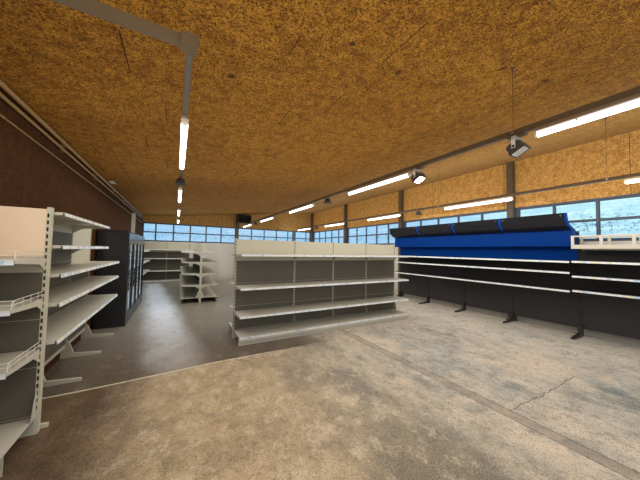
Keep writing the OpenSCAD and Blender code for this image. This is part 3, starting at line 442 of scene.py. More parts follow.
def paint(name, tone, rough=0.45, dust=0.15, dust_tone=DUST, metallic=0.0, peel=0.0002, coat=0.0):
    """Tone, lightened and greyed by slow clouds of dust; roughness follows the dust."""
    finish = Finish(name)
    clouds = finish.noise(2.1, 4, 0.6)
    specks = finish.noise(42, 3, 0.65)
    rubbed = finish.noise(11, 4, 0.7, finish.stretched(1, 1, 0.35)).step(0.62, 0.8)
    finish.colour = finish.blend(clouds * dust, tone, dust_tone)
    finish.over(specks.step(0.55, 0.8) * dust * 0.6, scaled(tone, 0.55))
    finish.over(rubbed * dust, tuple(min(1.0, c * 1.25 + 0.03) for c in tone))
    finish.bump(finish.noise(520, 1) * 0.5 + specks * 0.5, peel, 0.5)
    roughness = rough + clouds * 0.14 - 0.07 + rubbed * 0.1
    return finish.set(roughness=roughness, metallic=metallic, coat_weight=coat)


def plastic(name, tone, rough=0.4):
    """Moulded plastic, rubber or card: a faint cloud in the tone and a fine grain in the gloss."""
    finish = Finish(name)
    finish.colour = finish.blend(finish.noise(6, 3, 0.6) * 0.25, tone, scaled(tone, 0.78))
    finish.bump(finish.noise(380, 2), 0.0002, 0.3)
    return finish.set(roughness=rough + finish.noise(60) * 0.1 - 0.05)


print("paint and plastic: tone, cloud, specks and rubbed spots")

# %% [markdown]
# Four surfaces need more than one coat: render with rain streaks, sawn timber, the brown channel of the lamp
# lines and the white trays, brown along their upper edge.

# %% Render, timber and the lamp lines
TRUNK_H = 2.945


def render_finish():
    """Streaks drawn out along z, and dirt near the ground."""
    finish = Finish("wall_render")
    grain = finish.noise(140, 3, 0.7)
    streaks = finish.noise(1.6, 4, 0.6, finish.stretched(1.0, 1.0, 0.12))
    low = 1 - finish.w.step(-0.05, 0.45)
    finish.colour = finish.ramp(streaks, (0.3, (0.55, 0.53, 0.48)), (0.7, (0.7, 0.68, 0.63)))
    finish.over(low * 0.55, (0.36, 0.34, 0.3))
    finish.over(grain.step(0.45, 0.75) * 0.2, (0.42, 0.4, 0.36))
    finish.bump(grain, 0.002, 0.8)
    return finish.set(roughness=0.9)


def timber_finish():
    """Grain drawn out along the beams."""
    finish = Finish("beam_timber")
    grain = finish.noise(6, 4, 0.6, finish.stretched(0.6, 12, 12))
    finish.colour = finish.ramp(grain, (0.3, (0.36, 0.22, 0.11)), (0.7, (0.6, 0.42, 0.24)))
    finish.bump(grain, 0.001, 0.6)
    return finish.set(roughness=0.7)


def trunk_finish():
    """Brown-grey paint; the line by the windows is darkened as painted shade."""
    finish = paint("trunking_paint", (0.105, 0.076, 0.044), 0.42, 0.2, (0.24, 0.18, 0.11))
    finish.colour = finish.blend(finish.noise(3.5, 3, 0.6), (0.1, 0.067, 0.035), (0.15, 0.103, 0.058))
    # Painted shade: the line by the windows is darker
    finish.over(finish.u.above(7.0) * 0.85, (0.04, 0.024, 0.012))
    return finish.set()


def lamp_tray_finish():
    """White enamel, brown along its upper edge, where it meets the channel."""
    finish = paint("lamp_tray_white", (0.74, 0.71, 0.62), 0.4, 0.15)
    brown = (finish.w - TRUNK_H).step(-0.036, -0.024) * (0.85 + finish.noise(9) * 0.15)
    finish.colour = finish.blend(brown, (0.66, 0.61, 0.5), (0.235, 0.15, 0.082))
    finish.over(finish.noise(20, 3) * 0.2, (0.4, 0.33, 0.25))
    return finish.set()


print("channels hang at", TRUNK_H)

# %% [markdown]
# All paints of the hall stand together: tone, roughness, amount and tone of the dust. The blacks differ on
# purpose: the cooler has a clear coat, the signs are glossy, and the shelving and the heater are dusty.

# %% Palette
POST = paint("post_paint", (0.062, 0.044, 0.025), 0.42, 0.25, (0.22, 0.18, 0.13))
FRAME_GREY = paint("window_frame_paint", (0.062, 0.08, 0.12), 0.4, 0.12, (0.14, 0.16, 0.18))
TRUNK = trunk_finish()
CREAM = paint("shelving_cream", (0.56, 0.53, 0.405), 0.42, 0.2, (0.42, 0.36, 0.26))
CREAM_SHELF = paint("shelf_cream", (0.56, 0.535, 0.445), 0.4, 0.25, (0.36, 0.31, 0.23))
BLACK = paint("shelving_black", (0.018, 0.018, 0.02), 0.42, 0.1, (0.16, 0.15, 0.14))
COOLER = paint("cooler_black", (0.012, 0.012, 0.014), 0.32, 0.06, (0.1, 0.1, 0.1), coat=0.3)
TRAY = lamp_tray_finish()
YOKE = paint("yoke_grey", (0.46, 0.44, 0.41), 0.38, 0.18)
FLOOD = paint("flood_housing", (0.032, 0.026, 0.023), 0.48, 0.15, (0.16, 0.14, 0.12), peel=0.0006)
SPEAKER = paint("speaker_black", (0.016, 0.016, 0.017), 0.5, 0.15, (0.16, 0.14, 0.12))
HEATER = paint("heater_black", (0.013, 0.012, 0.012), 0.48, 0.12, (0.1, 0.09, 0.08))
PIPE = paint("pipe_tan", (0.3, 0.175, 0.068), 0.3, 0.3, (0.12, 0.075, 0.035))
WIRE = paint("hanger_steel", (0.3, 0.25, 0.19), 0.38, 0.2, metallic=0.6)
HANGER = paint("hanger_brown", (0.095, 0.066, 0.038), 0.42, 0.2, (0.16, 0.12, 0.08), metallic=0.4)
TRUNK_COVER = paint("trunk_cover_light", (0.115, 0.095, 0.072), 0.42, 0.15, (0.22, 0.19, 0.15))
COLD_SHELF = paint("cooler_shelf_grey", (0.55, 0.57, 0.58), 0.35, 0.12)
CROWN = paint("crown_cream", (0.52, 0.475, 0.405), 0.42, 0.12)
SIGN = paint("sign_gloss_black", (0.008, 0.008, 0.01), 0.2, 0.04, (0.08, 0.08, 0.08), coat=0.1)
BLUE = paint("sign_blue", (0.0006, 0.027, 0.165), 0.4, 0.04, (0.004, 0.035, 0.15))
SHEET = paint("roof_sheet", (0.24, 0.26, 0.275), 0.4, 0.25, (0.34, 0.33, 0.3), metallic=0.3)
TRIM = paint("edge_trim_grey", (0.055, 0.062, 0.07), 0.42, 0.2)
ZINC = paint("gutter_zinc", (0.36, 0.38, 0.39), 0.42, 0.25, (0.24, 0.24, 0.22), metallic=0.8)
for finish in (SIGN, BLUE):
    finish.set(specular_ior_level=0.05)
print(len(bpy.data.materials), "materials so far")

# %% [markdown]
# Each finish goes to the nodes that have it on the real object. Light and dark shelving are built alike and
# differ in paint.

# %% Dress the CAD nodes
LIGHT_RUNS = ("left_shelving", "aisle_gondola", "cross_gondola", "back_shelving")
for finish, nodes in (
        (render_finish(), ("left_wall", "back_wall", "right_wall")), (timber_finish(), ("roof_beams",)),
        (POST, ("wall_posts",)), (FRAME_GREY, ("window_frames",)), (SHEET, ("roof_deck",)),
        (TRIM, ("roof_edge_trim",)), (ZINC, ("roof_gutter",)), (TRUNK, ("light_trunks", "trunk_fittings")),
        (TRAY, ("lamp_trays",)), (HANGER, ("trunk_hangers",)), (SPEAKER, ("loudspeakers",)),
        (PIPE, ("heating_pipes",)), (HEATER, ("fan_heater",)), (COLD_SHELF, ("cooler_shelves",)),
        (COOLER, ("cooler_cabinet", *(f"cooler_door_{k}" for k in (1, 2, 3, 4)))),
        (BLACK, ("wall_shelving_frame", "wall_shelving_shelves")), (SIGN, ("sign_panels",)),
        (BLUE, ("canopy_backing",)), (CROWN, ("shelf_crown",)), (YOKE, ("flood_yoke_1", "flood_yoke_2")),
        (FLOOD, ("flood_head_1", "flood_head_2")), (CREAM, (run + "_frame" for run in LIGHT_RUNS)),
        (CREAM_SHELF, (run + "_shelves" for run in LIGHT_RUNS))):
    dress(finish, *nodes)

# %% [markdown]
# ## Glass and light
# The panes are glass with the day behind them. The plain sky of the stage would look dull through clear glass, so
# each pane glows faintly with the sky's own blue, bright enough for the floor to mirror it, and carries streaks and
# dried drops. The tube lamps are lit, so their covers give light themselves.

# %% Glass and lamps
def glass(name, tone, alpha):
    """Clear glass whose smears are a little rougher and less clear."""
    finish = Finish(name)
    smear = finish.noise(1.4, 4, 0.6)
    finish.material.surface_render_method = "BLENDED"
    finish.colour = finish.blend(smear * 0.3, tone, scaled(tone, 0.8))
    return finish.set(roughness=0.03 + smear * 0.03, alpha=alpha + smear * 0.08)


def window_pane_finish():
    """The sky in a pane: blue in the far panes, near white in the near ones, with streaks and dried drops."""
    finish = Finish("window_glass")
    finish.material.surface_render_method = "BLENDED"
    v, w = finish.v, finish.w
    smear = finish.noise(1.1, 4, 0.6)
    band = (1 - (w - 2.42 + (finish.noise(1.7, 3) - 0.5) * 0.5).size().step(0.05, 0.3)) * 0.75 + 0.25
    drops = (1 - finish.noise(17, 3, 0.7, finish.stretched(1, 1, 1.5)).step(0.4, 0.44)) * band
    streaks = finish.noise(1.5, 4, 0.6, finish.stretched(1, 1, 5)).step(0.4, 0.62)
    finish.colour = finish.blend(v.step(2.6, 7.0), (0.55, 0.96, 0.98), (0.29, 0.57, 0.88))
    finish.over((1 - (w + smear * 0.4).step(2.25, 2.75)) * 0.35, (0.16, 0.48, 0.76))
    finish.over((1 - streaks) * 0.45, (0.09, 0.56, 0.88))
    finish.over(drops * 0.85, (0.01, 0.08, 0.28))
    return finish.set(base_color=finish.blend(drops, (0.03, 0.05, 0.06), (0.01, 0.03, 0.06)),
                      roughness=0.04 + smear * 0.04, alpha=0.46 + smear * 0.12 + drops * 0.35,
                      emission_color=finish.colour, emission_strength=1.0)


def lamp_cover():
    """White plastic lit from inside: dark where the tray covers it, then full."""
    finish = Finish("lamp_cover")
    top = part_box("lamp_diffusers")[1].z - CORNER[2]
    lit = 1 - (finish.w - top).step(-0.016, -0.008)
    warm = finish.blend(finish.noise(4.0) * 0.06, (1.0, 0.97, 0.88), (1.0, 0.93, 0.8))
    glow = finish.blend(lit, (0.024, 0.015, 0.009), warm)
    return finish.set(base_color=(0.9, 0.9, 0.86), roughness=0.35, emission_color=glow, emission_strength=6.0)


dress(window_pane_finish(), "window_glass")
for k in (1, 2, 3, 4):
    dress(glass(f"cooler_glass_{k}", (0.1, 0.12, 0.13), 0.3), f"cooler_glass_{k}")
dress(lamp_cover(), "lamp_diffusers")
FLOOD_PANE = glass("flood_pane", (0.3, 0.31, 0.32), 0.12)

# %% [markdown]
# ## Shapes from profiles
# Rails, clips, gaskets, seams and collars are nearly all one outline carried along a straight line, turned about an
# axis, or carried round a rectangle. A shape holds the points and faces of one part as whole arrays. It can be
# repeated at many places and added to others before a mesh is made of it, so that hundreds of small parts become
# one object.

# %% Shapes
class Shape:
    """Points in hall coordinates, and faces in groups with the same number of corners."""

    def __init__(self, points, *faces):
        self.points = np.asarray(points, float)
        self.faces = [np.asarray(group, int) for group in faces]

    def __add__(self, other):
        return Shape(np.vstack([self.points, other.points]), *self.faces,
                     *[group + len(self.points) for group in other.faces])

    def copies(self, shifts):
        """The shape again at each row of shifts: all points plus each shift, and faces counted on."""
        shifts = np.atleast_2d(np.asarray(shifts, float))
        first = np.arange(len(shifts))[:, None, None] * len(self.points)
        points = (self.points[None] + shifts[:, None]).reshape(-1, 3)
        return Shape(points, *[(group[None] + first).reshape(-1, group.shape[1]) for group in self.faces])

    def set_at(self, origin, across, along, up):
        """The shape, drawn in its own x, y and z, put at origin with these three directions."""
        return Shape(self.points @ np.array([across, along, up], float) + np.asarray(origin, float), *self.faces)


def all_of(shapes):
    """Many shapes as one: points stacked, and the faces of each counted on from those before."""
    counts = np.cumsum([0] + [len(shape.points) for shape in shapes])
    faces = {}
    for shape, first in zip(shapes, counts):
        for group in shape.faces:
            faces.setdefault(group.shape[1], []).append(group + first)
    return Shape(np.vstack([shape.points for shape in shapes]), *[np.vstack(groups) for groups in faces.values()])


print("Shape:", *[name for name in vars(Shape) if name[0] != "_"])

# %% [markdown]
# A tube is a pile of rings with quads between them and a face at both ends. A rail has two rings; a turned part,
# such as a hook or a lens, has one for each step of its profile.

# %% Outlines carried and turned
def rings(points):
    """Quads between the rows of a grid of points; each row is a closed ring."""
    rows, corners = points.shape[:2]
    k = np.arange(corners)
    ring = np.stack([k, (k + 1) % corners, (k + 1) % corners + corners, k + corners], 1)
    return (ring[None] + np.arange(rows - 1)[:, None, None] * corners).reshape(-1, 4)


def tube(points):
    """A shape from rows of rings, closed at both ends."""
    rows, corners = points.shape[:2]
    k = np.arange(corners)
    return Shape(points.reshape(-1, 3), rings(points), k[None, ::-1], k[None] + (rows - 1) * corners)


def around(steps):
    """Angles of a full turn, without the last one."""
    return np.arange(steps) * 2 * np.pi / steps


def carried(outline, start, end, side=X, up=Z):
    """A closed outline of (a, b) pairs carried from start to end: point = start or end + a side + b up."""
    outline = np.asarray(outline, float)
    flat = outline[:, :1] * np.asarray(side, float) + outline[:, 1:] * np.asarray(up, float)
    return tube(np.stack([flat + start, flat + end]))


def turned(profile, centre=(0, 0, 0), axis=2, steps=20):
    """A profile of (radius, height) pairs turned about an axis: point = (r cos a, r sin a, h), with a flat disc at
    both ends."""
    profile = np.asarray(profile, float)
    angle = around(steps)
    points = np.empty((len(profile), steps, 3))
    points[..., (axis + 1) % 3] = profile[:, :1] * np.cos(angle)
    points[..., (axis + 2) % 3] = profile[:, :1] * np.sin(angle)
    points[..., axis] = profile[:, 1:]
    return tube(points + centre)


print("outlines: carried, turned")

# %% [markdown]
# Wires follow a path with rounded bends. Blocks have their edges cut off, since a knife-sharp edge looks unreal,
# and a gasket is a profile carried round a rectangle.

# %% Wires, blocks and frames
def wire(path, radius, flat_normal, steps=10):
    """A round wire along a path in one plane: ring = path + r (cos a side + sin a normal), side = way x normal."""
    path, normal = np.asarray(path, float), np.asarray(flat_normal, float)
    way = np.gradient(path, axis=0)
    way /= np.linalg.norm(way, axis=1, keepdims=True)
    side = np.cross(way, normal)
    angle = around(steps)
    round_part = np.cos(angle)[None, :, None] * side[:, None] + np.sin(angle)[None, :, None] * normal
    return tube(path[:, None] + radius * round_part)


def rounded_path(corners, radius, steps=5):
    """Straight runs between corners, each inner corner replaced by a curve: p = (1-t)^2 a + 2t(1-t) c + t^2 b."""
    corners = np.asarray(corners, float)
    before, middle, after = corners[:-2], corners[1:-1], corners[2:]
    inward = before - middle
    onward = after - middle
    a = middle + inward * radius / np.linalg.norm(inward, axis=1, keepdims=True)
    b = middle + onward * radius / np.linalg.norm(onward, axis=1, keepdims=True)
    t = np.linspace(0, 1, steps)[None, :, None]
    curve = (1 - t) ** 2 * a[:, None] + 2 * t * (1 - t) * middle[:, None] + t ** 2 * b[:, None]
    return np.vstack([corners[:1], curve.reshape(-1, 3), corners[-1:]])


def block(low, high, edge=0.0015):
    """A box with its edges cut off: an outline with eight corners at four levels, drawn in by edge at both ends."""
    low, high = np.asarray(low, float), np.asarray(high, float)
    middle, half = (low + high) / 2, (high - low) / 2
    x, y, z = half
    e = min(edge, 0.4 * half.min())
    right = [(x, e - y), (x, y - e), (x - e, y), (e - x, y)]
    outline = np.array(right + [(-a, -b) for a, b in right])
    small = outline * ((x - e) / x, (y - e) / y)
    points = np.empty((4, 8, 3))
    points[..., :2] = np.stack([small, outline, outline, small])
    points[..., 2] = np.array([-z, e - z, z - e, z])[:, None]
    return tube(points + middle)


def mitred(low, high, profile):
    """A closed profile of (inward, height) pairs carried round the rectangle from low to high, with mitred corners:
    point = corner + inward along both sides + height along z."""
    profile = np.asarray(profile, float)
    corner = np.array([(low[0], low[1]), (high[0], low[1]), (high[0], high[1]), (low[0], high[1])], float)
    inward = np.array([(1, 1), (-1, 1), (-1, -1), (1, -1)], float)
    points = np.empty((4, len(profile), 3))
    points[..., :2] = corner[:, None] + inward[:, None] * profile[None, :, :1]
    points[..., 2] = profile[None, :, 1]
    closed = np.concatenate([points, points[:1]])
    return Shape(points.reshape(-1, 3), rings(closed) % (4 * len(profile)))


print("forms: wire, block, mitred")

# %% [markdown]
# A shape becomes an object with one finish. It rides on the body that carries it, so that a gasket swings with its
# door. Random draws come from one generator with a fixed seed, so the hall is the same each time.

# %% Pieces
def piece(name, shape, finish, body="hall", smooth=30):
    """Makes one object of a shape, turns its faces outwards, rounds its shading below an angle and lets it ride."""
    if isinstance(shape, list):
        shape = all_of(shape)
    data = bpy.data.meshes.new(name)
    faces = [face for group in shape.faces for face in group.tolist()]
    data.from_pydata((shape.points + CORNER).tolist(), [], faces)
    form = bmesh.new()
    form.from_mesh(data)
    bmesh.ops.recalc_face_normals(form, faces=form.faces)
    form.to_mesh(data)
    form.free()
    data.materials.append(finish.material)
    data.shade_smooth()
    data.set_sharp_from_angle(angle=math.radians(smooth))
    thing = bpy.data.objects.new(name, data)
    bpy.context.scene.collection.objects.link(thing)
    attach(thing, body)
    print(name, "on", body, "with", len(faces), "faces")


chance = np.random.default_rng(7)
print("seed set; pieces ride on the hall, a door, a yoke or a head")

# %% [markdown]
# ## The shelving runs
# All the shelving is one system: uprights with hook slots, shelves that hang on brackets, and a plastic price rail
# on every shelf front. Each run is written down once, with the point where its first bay starts on the frame's front
# face, the way along it, the way out of it, its bays, and the depth and heights of its shelves.

# %% Shelving runs
LEFT, FAR, END = (0.795, 1.151, 1.433, 1.713, 2.036), (0.79, 1.189, 1.598), (0.762, 1.22, 1.592)
CROSS, AISLE, BACK = (0.516, 1.013, 1.62), (0.56, 0.92, 1.282, 1.595), (0.62, 1.211, 1.637)
CANOPY, CROWN_RUN = (0.986, 1.365, 1.592), (1.007, 1.299, 1.599)
CROSS_BAYS, AISLE_BAYS, CANOPY_BAY = (1.25, 1.0, 1.0, 1.0), (1.0,) * 4, 1.25
UPRIGHT, PLINTH, GAP = 0.03, 0.152, 0.002
WALL_BACK = HALL_W - 0.205
LEAN = 0.184
Run = namedtuple("Run", "start along out bays depth levels base height black")
RUNS = [Run(*row) for row in (
    ((0.06, 3.928), (0, 1), (1, 0), (0.965, 0.965), 0.438, LEFT, False, 2.06, False),
    ((0.06, 5.858), (0, 1), (1, 0), (0.965,), 0.438, LEFT[:3], False, 2.06, False),
    ((0.02, 3.838), (1, 0), (0, -1), (0.398,), 0.528, END, True, 2.06, False),
    ((0.06, 10.54), (0, 1), (1, 0), (1.0,) * 3, 0.438, FAR, False, 2.03, False),
    ((2.482, 5.635), (1, 0), (0, -1), CROSS_BAYS, 0.497, CROSS, True, 1.926, False),
    ((2.482, 5.695), (1, 0), (0, 1), CROSS_BAYS, 0.497, CROSS, True, 1.926, False),
    ((2.203, 9.41), (0, 1), (1, 0), AISLE_BAYS, 0.497, AISLE, True, 1.887, False),
    ((2.143, 9.41), (0, 1), (-1, 0), AISLE_BAYS, 0.497, AISLE, True, 1.887, False),
    ((WALL_BACK, 7.565), (0, -1), (-1, 0), (CANOPY_BAY,) * 4, 0.483, CANOPY, False, 2.23, True),
    ((WALL_BACK, 2.535), (0, -1), (-1, 0), (1.235,) * 2, 0.483, CROWN_RUN, False, 1.849, True),
    ((0.07, HALL_L - 0.065), (1, 0), (0, -1), (1.0,) * 2, 0.43, BACK, True, 1.97, False))]
END_RUN, CANOPY_RUN = RUNS[2], RUNS[8]
CREAM_RUNS, BLACK_RUNS = ([run for run in RUNS if run.black == black] for black in (False, True))


def directions(run):
    """Unit vectors along a run and out of it."""
    return np.array([*run.along, 0.0]), np.array([*run.out, 0.0])


def on_run(run, along, out, up):
    """Points at distances along, out of and up a run; the three may be arrays."""
    way, outward = directions(run)
    along, out, up = (np.asarray(value, float)[..., None] for value in (along, out, up))
    return np.array([*run.start, 0.0]) + along * way + out * outward + up * Z


def fronts(run):
    """Start, length and height of each shelf front of a run, and its lean: base fronts stand upright."""
    starts = np.concatenate([[0], np.cumsum(run.bays)[:-1]])
    heights = [(level, LEAN) for level in run.levels] + ([(PLINTH, 0.0)] if run.base else [])
    return [(a + GAP + 0.001, bay - 2 * GAP - 0.002, w, lean)
            for a, bay in zip(starts, run.bays) for w, lean in heights]


print(len(RUNS), "runs,", sum(len(fronts(run)) for run in RUNS), "shelf fronts")

# %% [markdown]
# A clear rail holds blank cards on each shelf front, and leans with it. Places and tones of the cards are drawn at
# random, with gaps, because a real shelf front is never filled evenly.

# %% Price rails and cards
# (out, up) of the rail: a thin back, a lip curled over at the top and one at the foot that hold the cards
RAIL = np.array([(0.0006, 0.0), (0.003, 0.0008), (0.0044, -0.001), (0.0042, -0.004), (0.0032, -0.004),
                 (0.0028, -0.0016), (0.0018, -0.002), (0.0018, -0.035), (0.003, -0.0352), (0.0034, -0.033),
                 (0.0044, -0.033), (0.0046, -0.0362), (0.003, -0.0376), (0.0006, -0.0376)])
CARD = np.array([(0.0019, -0.003), (0.0025, -0.003), (0.0025, -0.034), (0.0019, -0.034)])
CARD_W, CARD_PITCH, CARD_PLAY = 0.052, 0.066, 0.01
CARD_SHARE = (0.52, 0.14, 0.12, 0.22)  # white, cream, pale blue, none


def leaning(outline, lean):
    """The outline with its lower points pushed outwards in proportion to their depth."""
    return outline + np.stack([-outline[:, 1] * lean, np.zeros(len(outline))], 1)


def rails(run):
    """The rails of a run and its cards, in three groups: white, cream and pale blue."""
    way, outward = directions(run)
    strips, cards = [], [[], [], []]
    for start, length, height, lean in fronts(run):
        first = on_run(run, start, run.depth, height)
        strips.append(carried(leaning(RAIL, lean), first, first + way * length, outward))
        card = carried(leaning(CARD, lean), (0, 0, 0), way * CARD_W, outward)
        room = np.arange(0.02, length - 0.06, CARD_PITCH)
        offset = room + chance.uniform(0, CARD_PLAY, len(room))
        kind = chance.choice(4, len(room), p=CARD_SHARE)
        for group in range(3):
            if (kind == group).any():
                cards[group].append(card.copies(first + offset[kind == group][:, None] * way))
    return strips, cards


RAIL_CLEAR = plastic("price_rail", (0.7, 0.74, 0.76), 0.22)
CARDS = {"white": plastic("card_white", (0.8, 0.8, 0.78), 0.55),
         "cream": plastic("card_cream", (0.8, 0.72, 0.5), 0.55),
         "blue": plastic("card_blue", (0.4, 0.58, 0.74), 0.5)}
for shade, runs in (("light", CREAM_RUNS), ("dark", BLACK_RUNS)):
    group = [rails(run) for run in runs]
    piece(f"price_rails_{shade}_shelving", [strip for strips, _ in group for strip in strips], RAIL_CLEAR)
    for kind, (tone, finish) in enumerate(CARDS.items()):
        piece(f"blank_cards_{tone}_{shade}_shelving", [c for _, cards in group for c in cards[kind]], finish)

# %% [markdown]
# ## Back panels, slots and caps of the uprights
# The hooks of the brackets go into a row of slots, 65 mm apart, all the way up the front of each upright. A slot is
# a dark, long eight-cornered plate that stands a quarter of a millimetre proud, with the shade of the hole painted
# on it, so it reads as a hole from any distance. A plastic cap closes the head. Below the top shelf the back is
# closed by darker grey sheets.

# %% Uprights
SLOT_MM = [(-5.5, -19), (5.5, -19), (7.0, -16), (7.0, 16), (5.5, 19), (-5.5, 19), (-7.0, 16), (-7.0, -16)]
SLOT_PITCH, SLOT_ASIDE, SHEET_ROW = 0.065, 0.003, 0.4


def uprights(run):
    """Middles of a run's uprights, as distances along it."""
    return np.concatenate([[0], np.cumsum(run.bays)])


def slots(run):
    """One dark plate, the painted shade of a hole, at each pitch up each upright: height = lowest + k pitch."""
    way, outward = directions(run)
    slot = carried(np.array(SLOT_MM) / 1000, (0, 0, 0), outward * 0.00025, way)
    heights = np.arange(0.235 if run.base else 0.3, run.height - 0.04, SLOT_PITCH)
    along, up = np.meshgrid(uprights(run) - SLOT_ASIDE, heights, indexing="ij")
    return slot.copies(on_run(run, along.ravel(), np.zeros(along.size), up.ravel()))


def caps(run):
    """A low cap with a rounded top on each upright: its half width shrinks towards the top."""
    cap = all_of([block((-0.0165, -0.0315, 0), (0.0165, 0.0315, 0.006), 0.001),
                  block((-0.014, -0.029, 0.006), (0.014, 0.029, 0.01), 0.002)])
    along = uprights(run)
    heads = on_run(run, along, np.full(len(along), -0.03), np.full(len(along), run.height))
    return cap.set_at((0, 0, 0), *directions(run), Z).copies(heads)


def sheet(run, start, end, low, high):
    """A thin sheet between two distances along a run and two heights, with its upper and lower edges cut aslant."""
    edge = [(-0.0075, low), (-0.0045, low + 0.003), (-0.0045, high - 0.003), (-0.0075, high)]
    return carried(edge, on_run(run, start, 0.0, 0.0), on_run(run, end, 0.0, 0.0), directions(run)[1])


def panels(run):
    """Grey sheets hung between the uprights, 0.4 m high, from the base up to just under the top shelf."""
    top, low = max(run.levels) - 0.13, (PLINTH if run.base else 0.2) + 0.012
    rows = max(1, round((top - low) / SHEET_ROW))
    height = (top - low) / rows
    return [sheet(run, start + UPRIGHT / 2 + 0.001, start + bay - UPRIGHT / 2 - 0.001,
                  low + row * height + 0.001, low + row * height + height - 0.003)
            for start, bay in zip(uprights(run)[:-1], run.bays) for row in range(rows)]


piece("end_bay_head_plate", sheet(END_RUN, 0.016, 0.382, max(END) + 0.01, END_RUN.height - 0.01),
      paint("peach_plate", (0.84, 0.645, 0.455), 0.42, 0.12, (0.55, 0.42, 0.32)))
piece("grey_back_panels", [part for run in CREAM_RUNS for part in panels(run)],
      paint("back_panel_grey", (0.1, 0.088, 0.066), 0.48, 0.18, (0.18, 0.16, 0.12)))
# Dark plastic for caps and knobs; on the slots and grille holes it is the holes' painted shade
HOLE_SHADE_AND_DARK_PLASTIC = plastic("hole_shade_and_dark_plastic", (0.012, 0.011, 0.01), 0.7)
piece("upright_slots", [slots(run) for run in RUNS], HOLE_SHADE_AND_DARK_PLASTIC)
piece("upright_caps_light", [caps(run) for run in CREAM_RUNS], plastic("cap_grey", (0.46, 0.45, 0.42), 0.4))
piece("upright_caps_dark", caps(CANOPY_RUN), HOLE_SHADE_AND_DARK_PLASTIC)

# %% [markdown]
# ## Wire guards of the end bay
# The end bay that faces the camera has a low guard of white wire on each shelf: it leaves the upright, runs forward
# along the open side and bends down into the shelf's front edge. The path is a few corner points, rounded by short
# curves, and a round ring is carried along it.

# %% Wire guards
GUARD_SIDE = 0.398 - 0.004
GUARD_RISES = (0.034, 0.066)


def guard(level):
    """Two wires one above the other along the open side, joined by short posts, with a cross bar at the front."""
    depth = END_RUN.depth - 0.012
    wires = []
    for rise in GUARD_RISES:
        path = [on_run(END_RUN, GUARD_SIDE, out, level + up)
                for out, up in ((0.002, rise), (depth, rise), (depth + 0.004, 0.001))]
        wires.append(wire(rounded_path(path, 0.03), 0.003, X))
        path = [on_run(END_RUN, along, depth - 0.004, level + rise) for along in (GUARD_SIDE, 0.0)]
        wires.append(wire(path, 0.003, Z))
    for out in np.linspace(0.1, depth - 0.03, 4):
        path = [on_run(END_RUN, GUARD_SIDE, out, level + up) for up in (0, GUARD_RISES[1])]
        wires.append(wire(path, 0.0022, X, 8))
    return wires


GUARD_WHITE = paint("guard_wire_white", (0.72, 0.69, 0.61), 0.35, 0.12)
piece("end_bay_wire_guards", [w for level in END for w in guard(level)], GUARD_WHITE)

# %% [markdown]
# ## The drinks cooler
# The cooler is a black steel cabinet with four glass doors. What a plain box would lack is the rubber gasket round
# each pane, the upright light strips behind the doors' edges, the wire fences in front of the shelves, the louvres of
# the machine compartment and the thin bright line under the header. Gaskets and screws ride on their doors.

# %% Cooler
# The cabinet's near end, length, back, depth, plinth, height, header and wall; then the doors
C_V, C_L, C_BACK, C_D, C_PLINTH, C_H, C_HEADER, C_WALL = 7.413, 3.04, 0.03, 0.539, 0.18, 2.068, 0.23, 0.04
LEAF_PLAY, LEAF_GAP, LEAF_T, BAR = 0.006, 0.016, 0.034, 0.044
LEAF_W = (C_L - 2 * C_WALL - 2 * LEAF_PLAY - 3 * LEAF_GAP) / 4
LEAF_Z, LEAF_H = C_PLINTH + LEAF_PLAY, C_H - C_HEADER - C_PLINTH - 2 * LEAF_PLAY
C_NOSE, FIRST_LEAF = C_BACK + C_D, C_V + C_WALL + LEAF_PLAY
LEAF_FRONT = C_NOSE - LEAF_PLAY
LEAF_U = LEAF_FRONT - LEAF_T
SHELF_LEVELS, SHELF_SET_BACK, FENCE_RISES = (0.33, 0.67, 1.0, 1.32), 0.07, (0.003, 0.022, 0.041)
HANDLE_LOW, HANDLE_SCREWS, HANDLE_OUT = 0.36, (-0.008, 0.396), 0.034
GASKET = plastic("gasket_rubber", (0.02, 0.02, 0.021), 0.6)
CHROME = paint("cooler_bright_trim", (0.55, 0.56, 0.58), 0.22, 0.06, metallic=0.9)
LED = Finish("cooler_light_strip")
LED.set(base_color=LED.blend(LED.noise(30) * 0.1, (0.85, 0.92, 1.0), (0.7, 0.8, 0.95)), roughness=0.3,
        emission_color=LED.blend(LED.noise(8) * 0.2, (0.75, 0.88, 1.0), (0.6, 0.75, 0.95)),
        emission_strength=1.4)
RING = [(0.0, 0.0), (0.01, 0.0), (0.01, 0.0012), (0.002, 0.0026), (-0.004, 0.0026), (-0.004, 0.0)]
grip = turned([(0.0035, 0), (0.0048, 0.001), (0.0048, 0.0035), (0.003, 0.005)], axis=0, steps=14)
for k in range(4):
    v0 = FIRST_LEAF + k * (LEAF_W + LEAF_GAP)
    gasket = mitred((v0 + BAR, LEAF_Z + BAR), (v0 + LEAF_W - BAR, LEAF_Z + LEAF_H - BAR), RING)
    piece(f"cooler_gasket_{k + 1}", gasket.set_at(X * LEAF_FRONT, Y, Z, X), GASKET, f"door_{k + 1}")
    screws = [(LEAF_FRONT + HANDLE_OUT, v0 + BAR / 2, LEAF_Z + LEAF_H * HANDLE_LOW + dz) for dz in HANDLE_SCREWS]
    piece(f"cooler_handle_screws_{k + 1}", grip.copies(screws), CHROME, f"door_{k + 1}")
strip = block((LEAF_U - 0.026, -0.01, LEAF_Z + 0.03), (LEAF_U - 0.018, 0.01, LEAF_Z + LEAF_H - 0.03), 0.004)
door_edges = FIRST_LEAF + np.arange(5) * (LEAF_W + LEAF_GAP) - LEAF_GAP / 2
door_edges[[0, -1]] += 0.022, -0.022
piece("cooler_light_strips", strip.copies([(0, v, 0) for v in door_edges]), LED)
fence = []
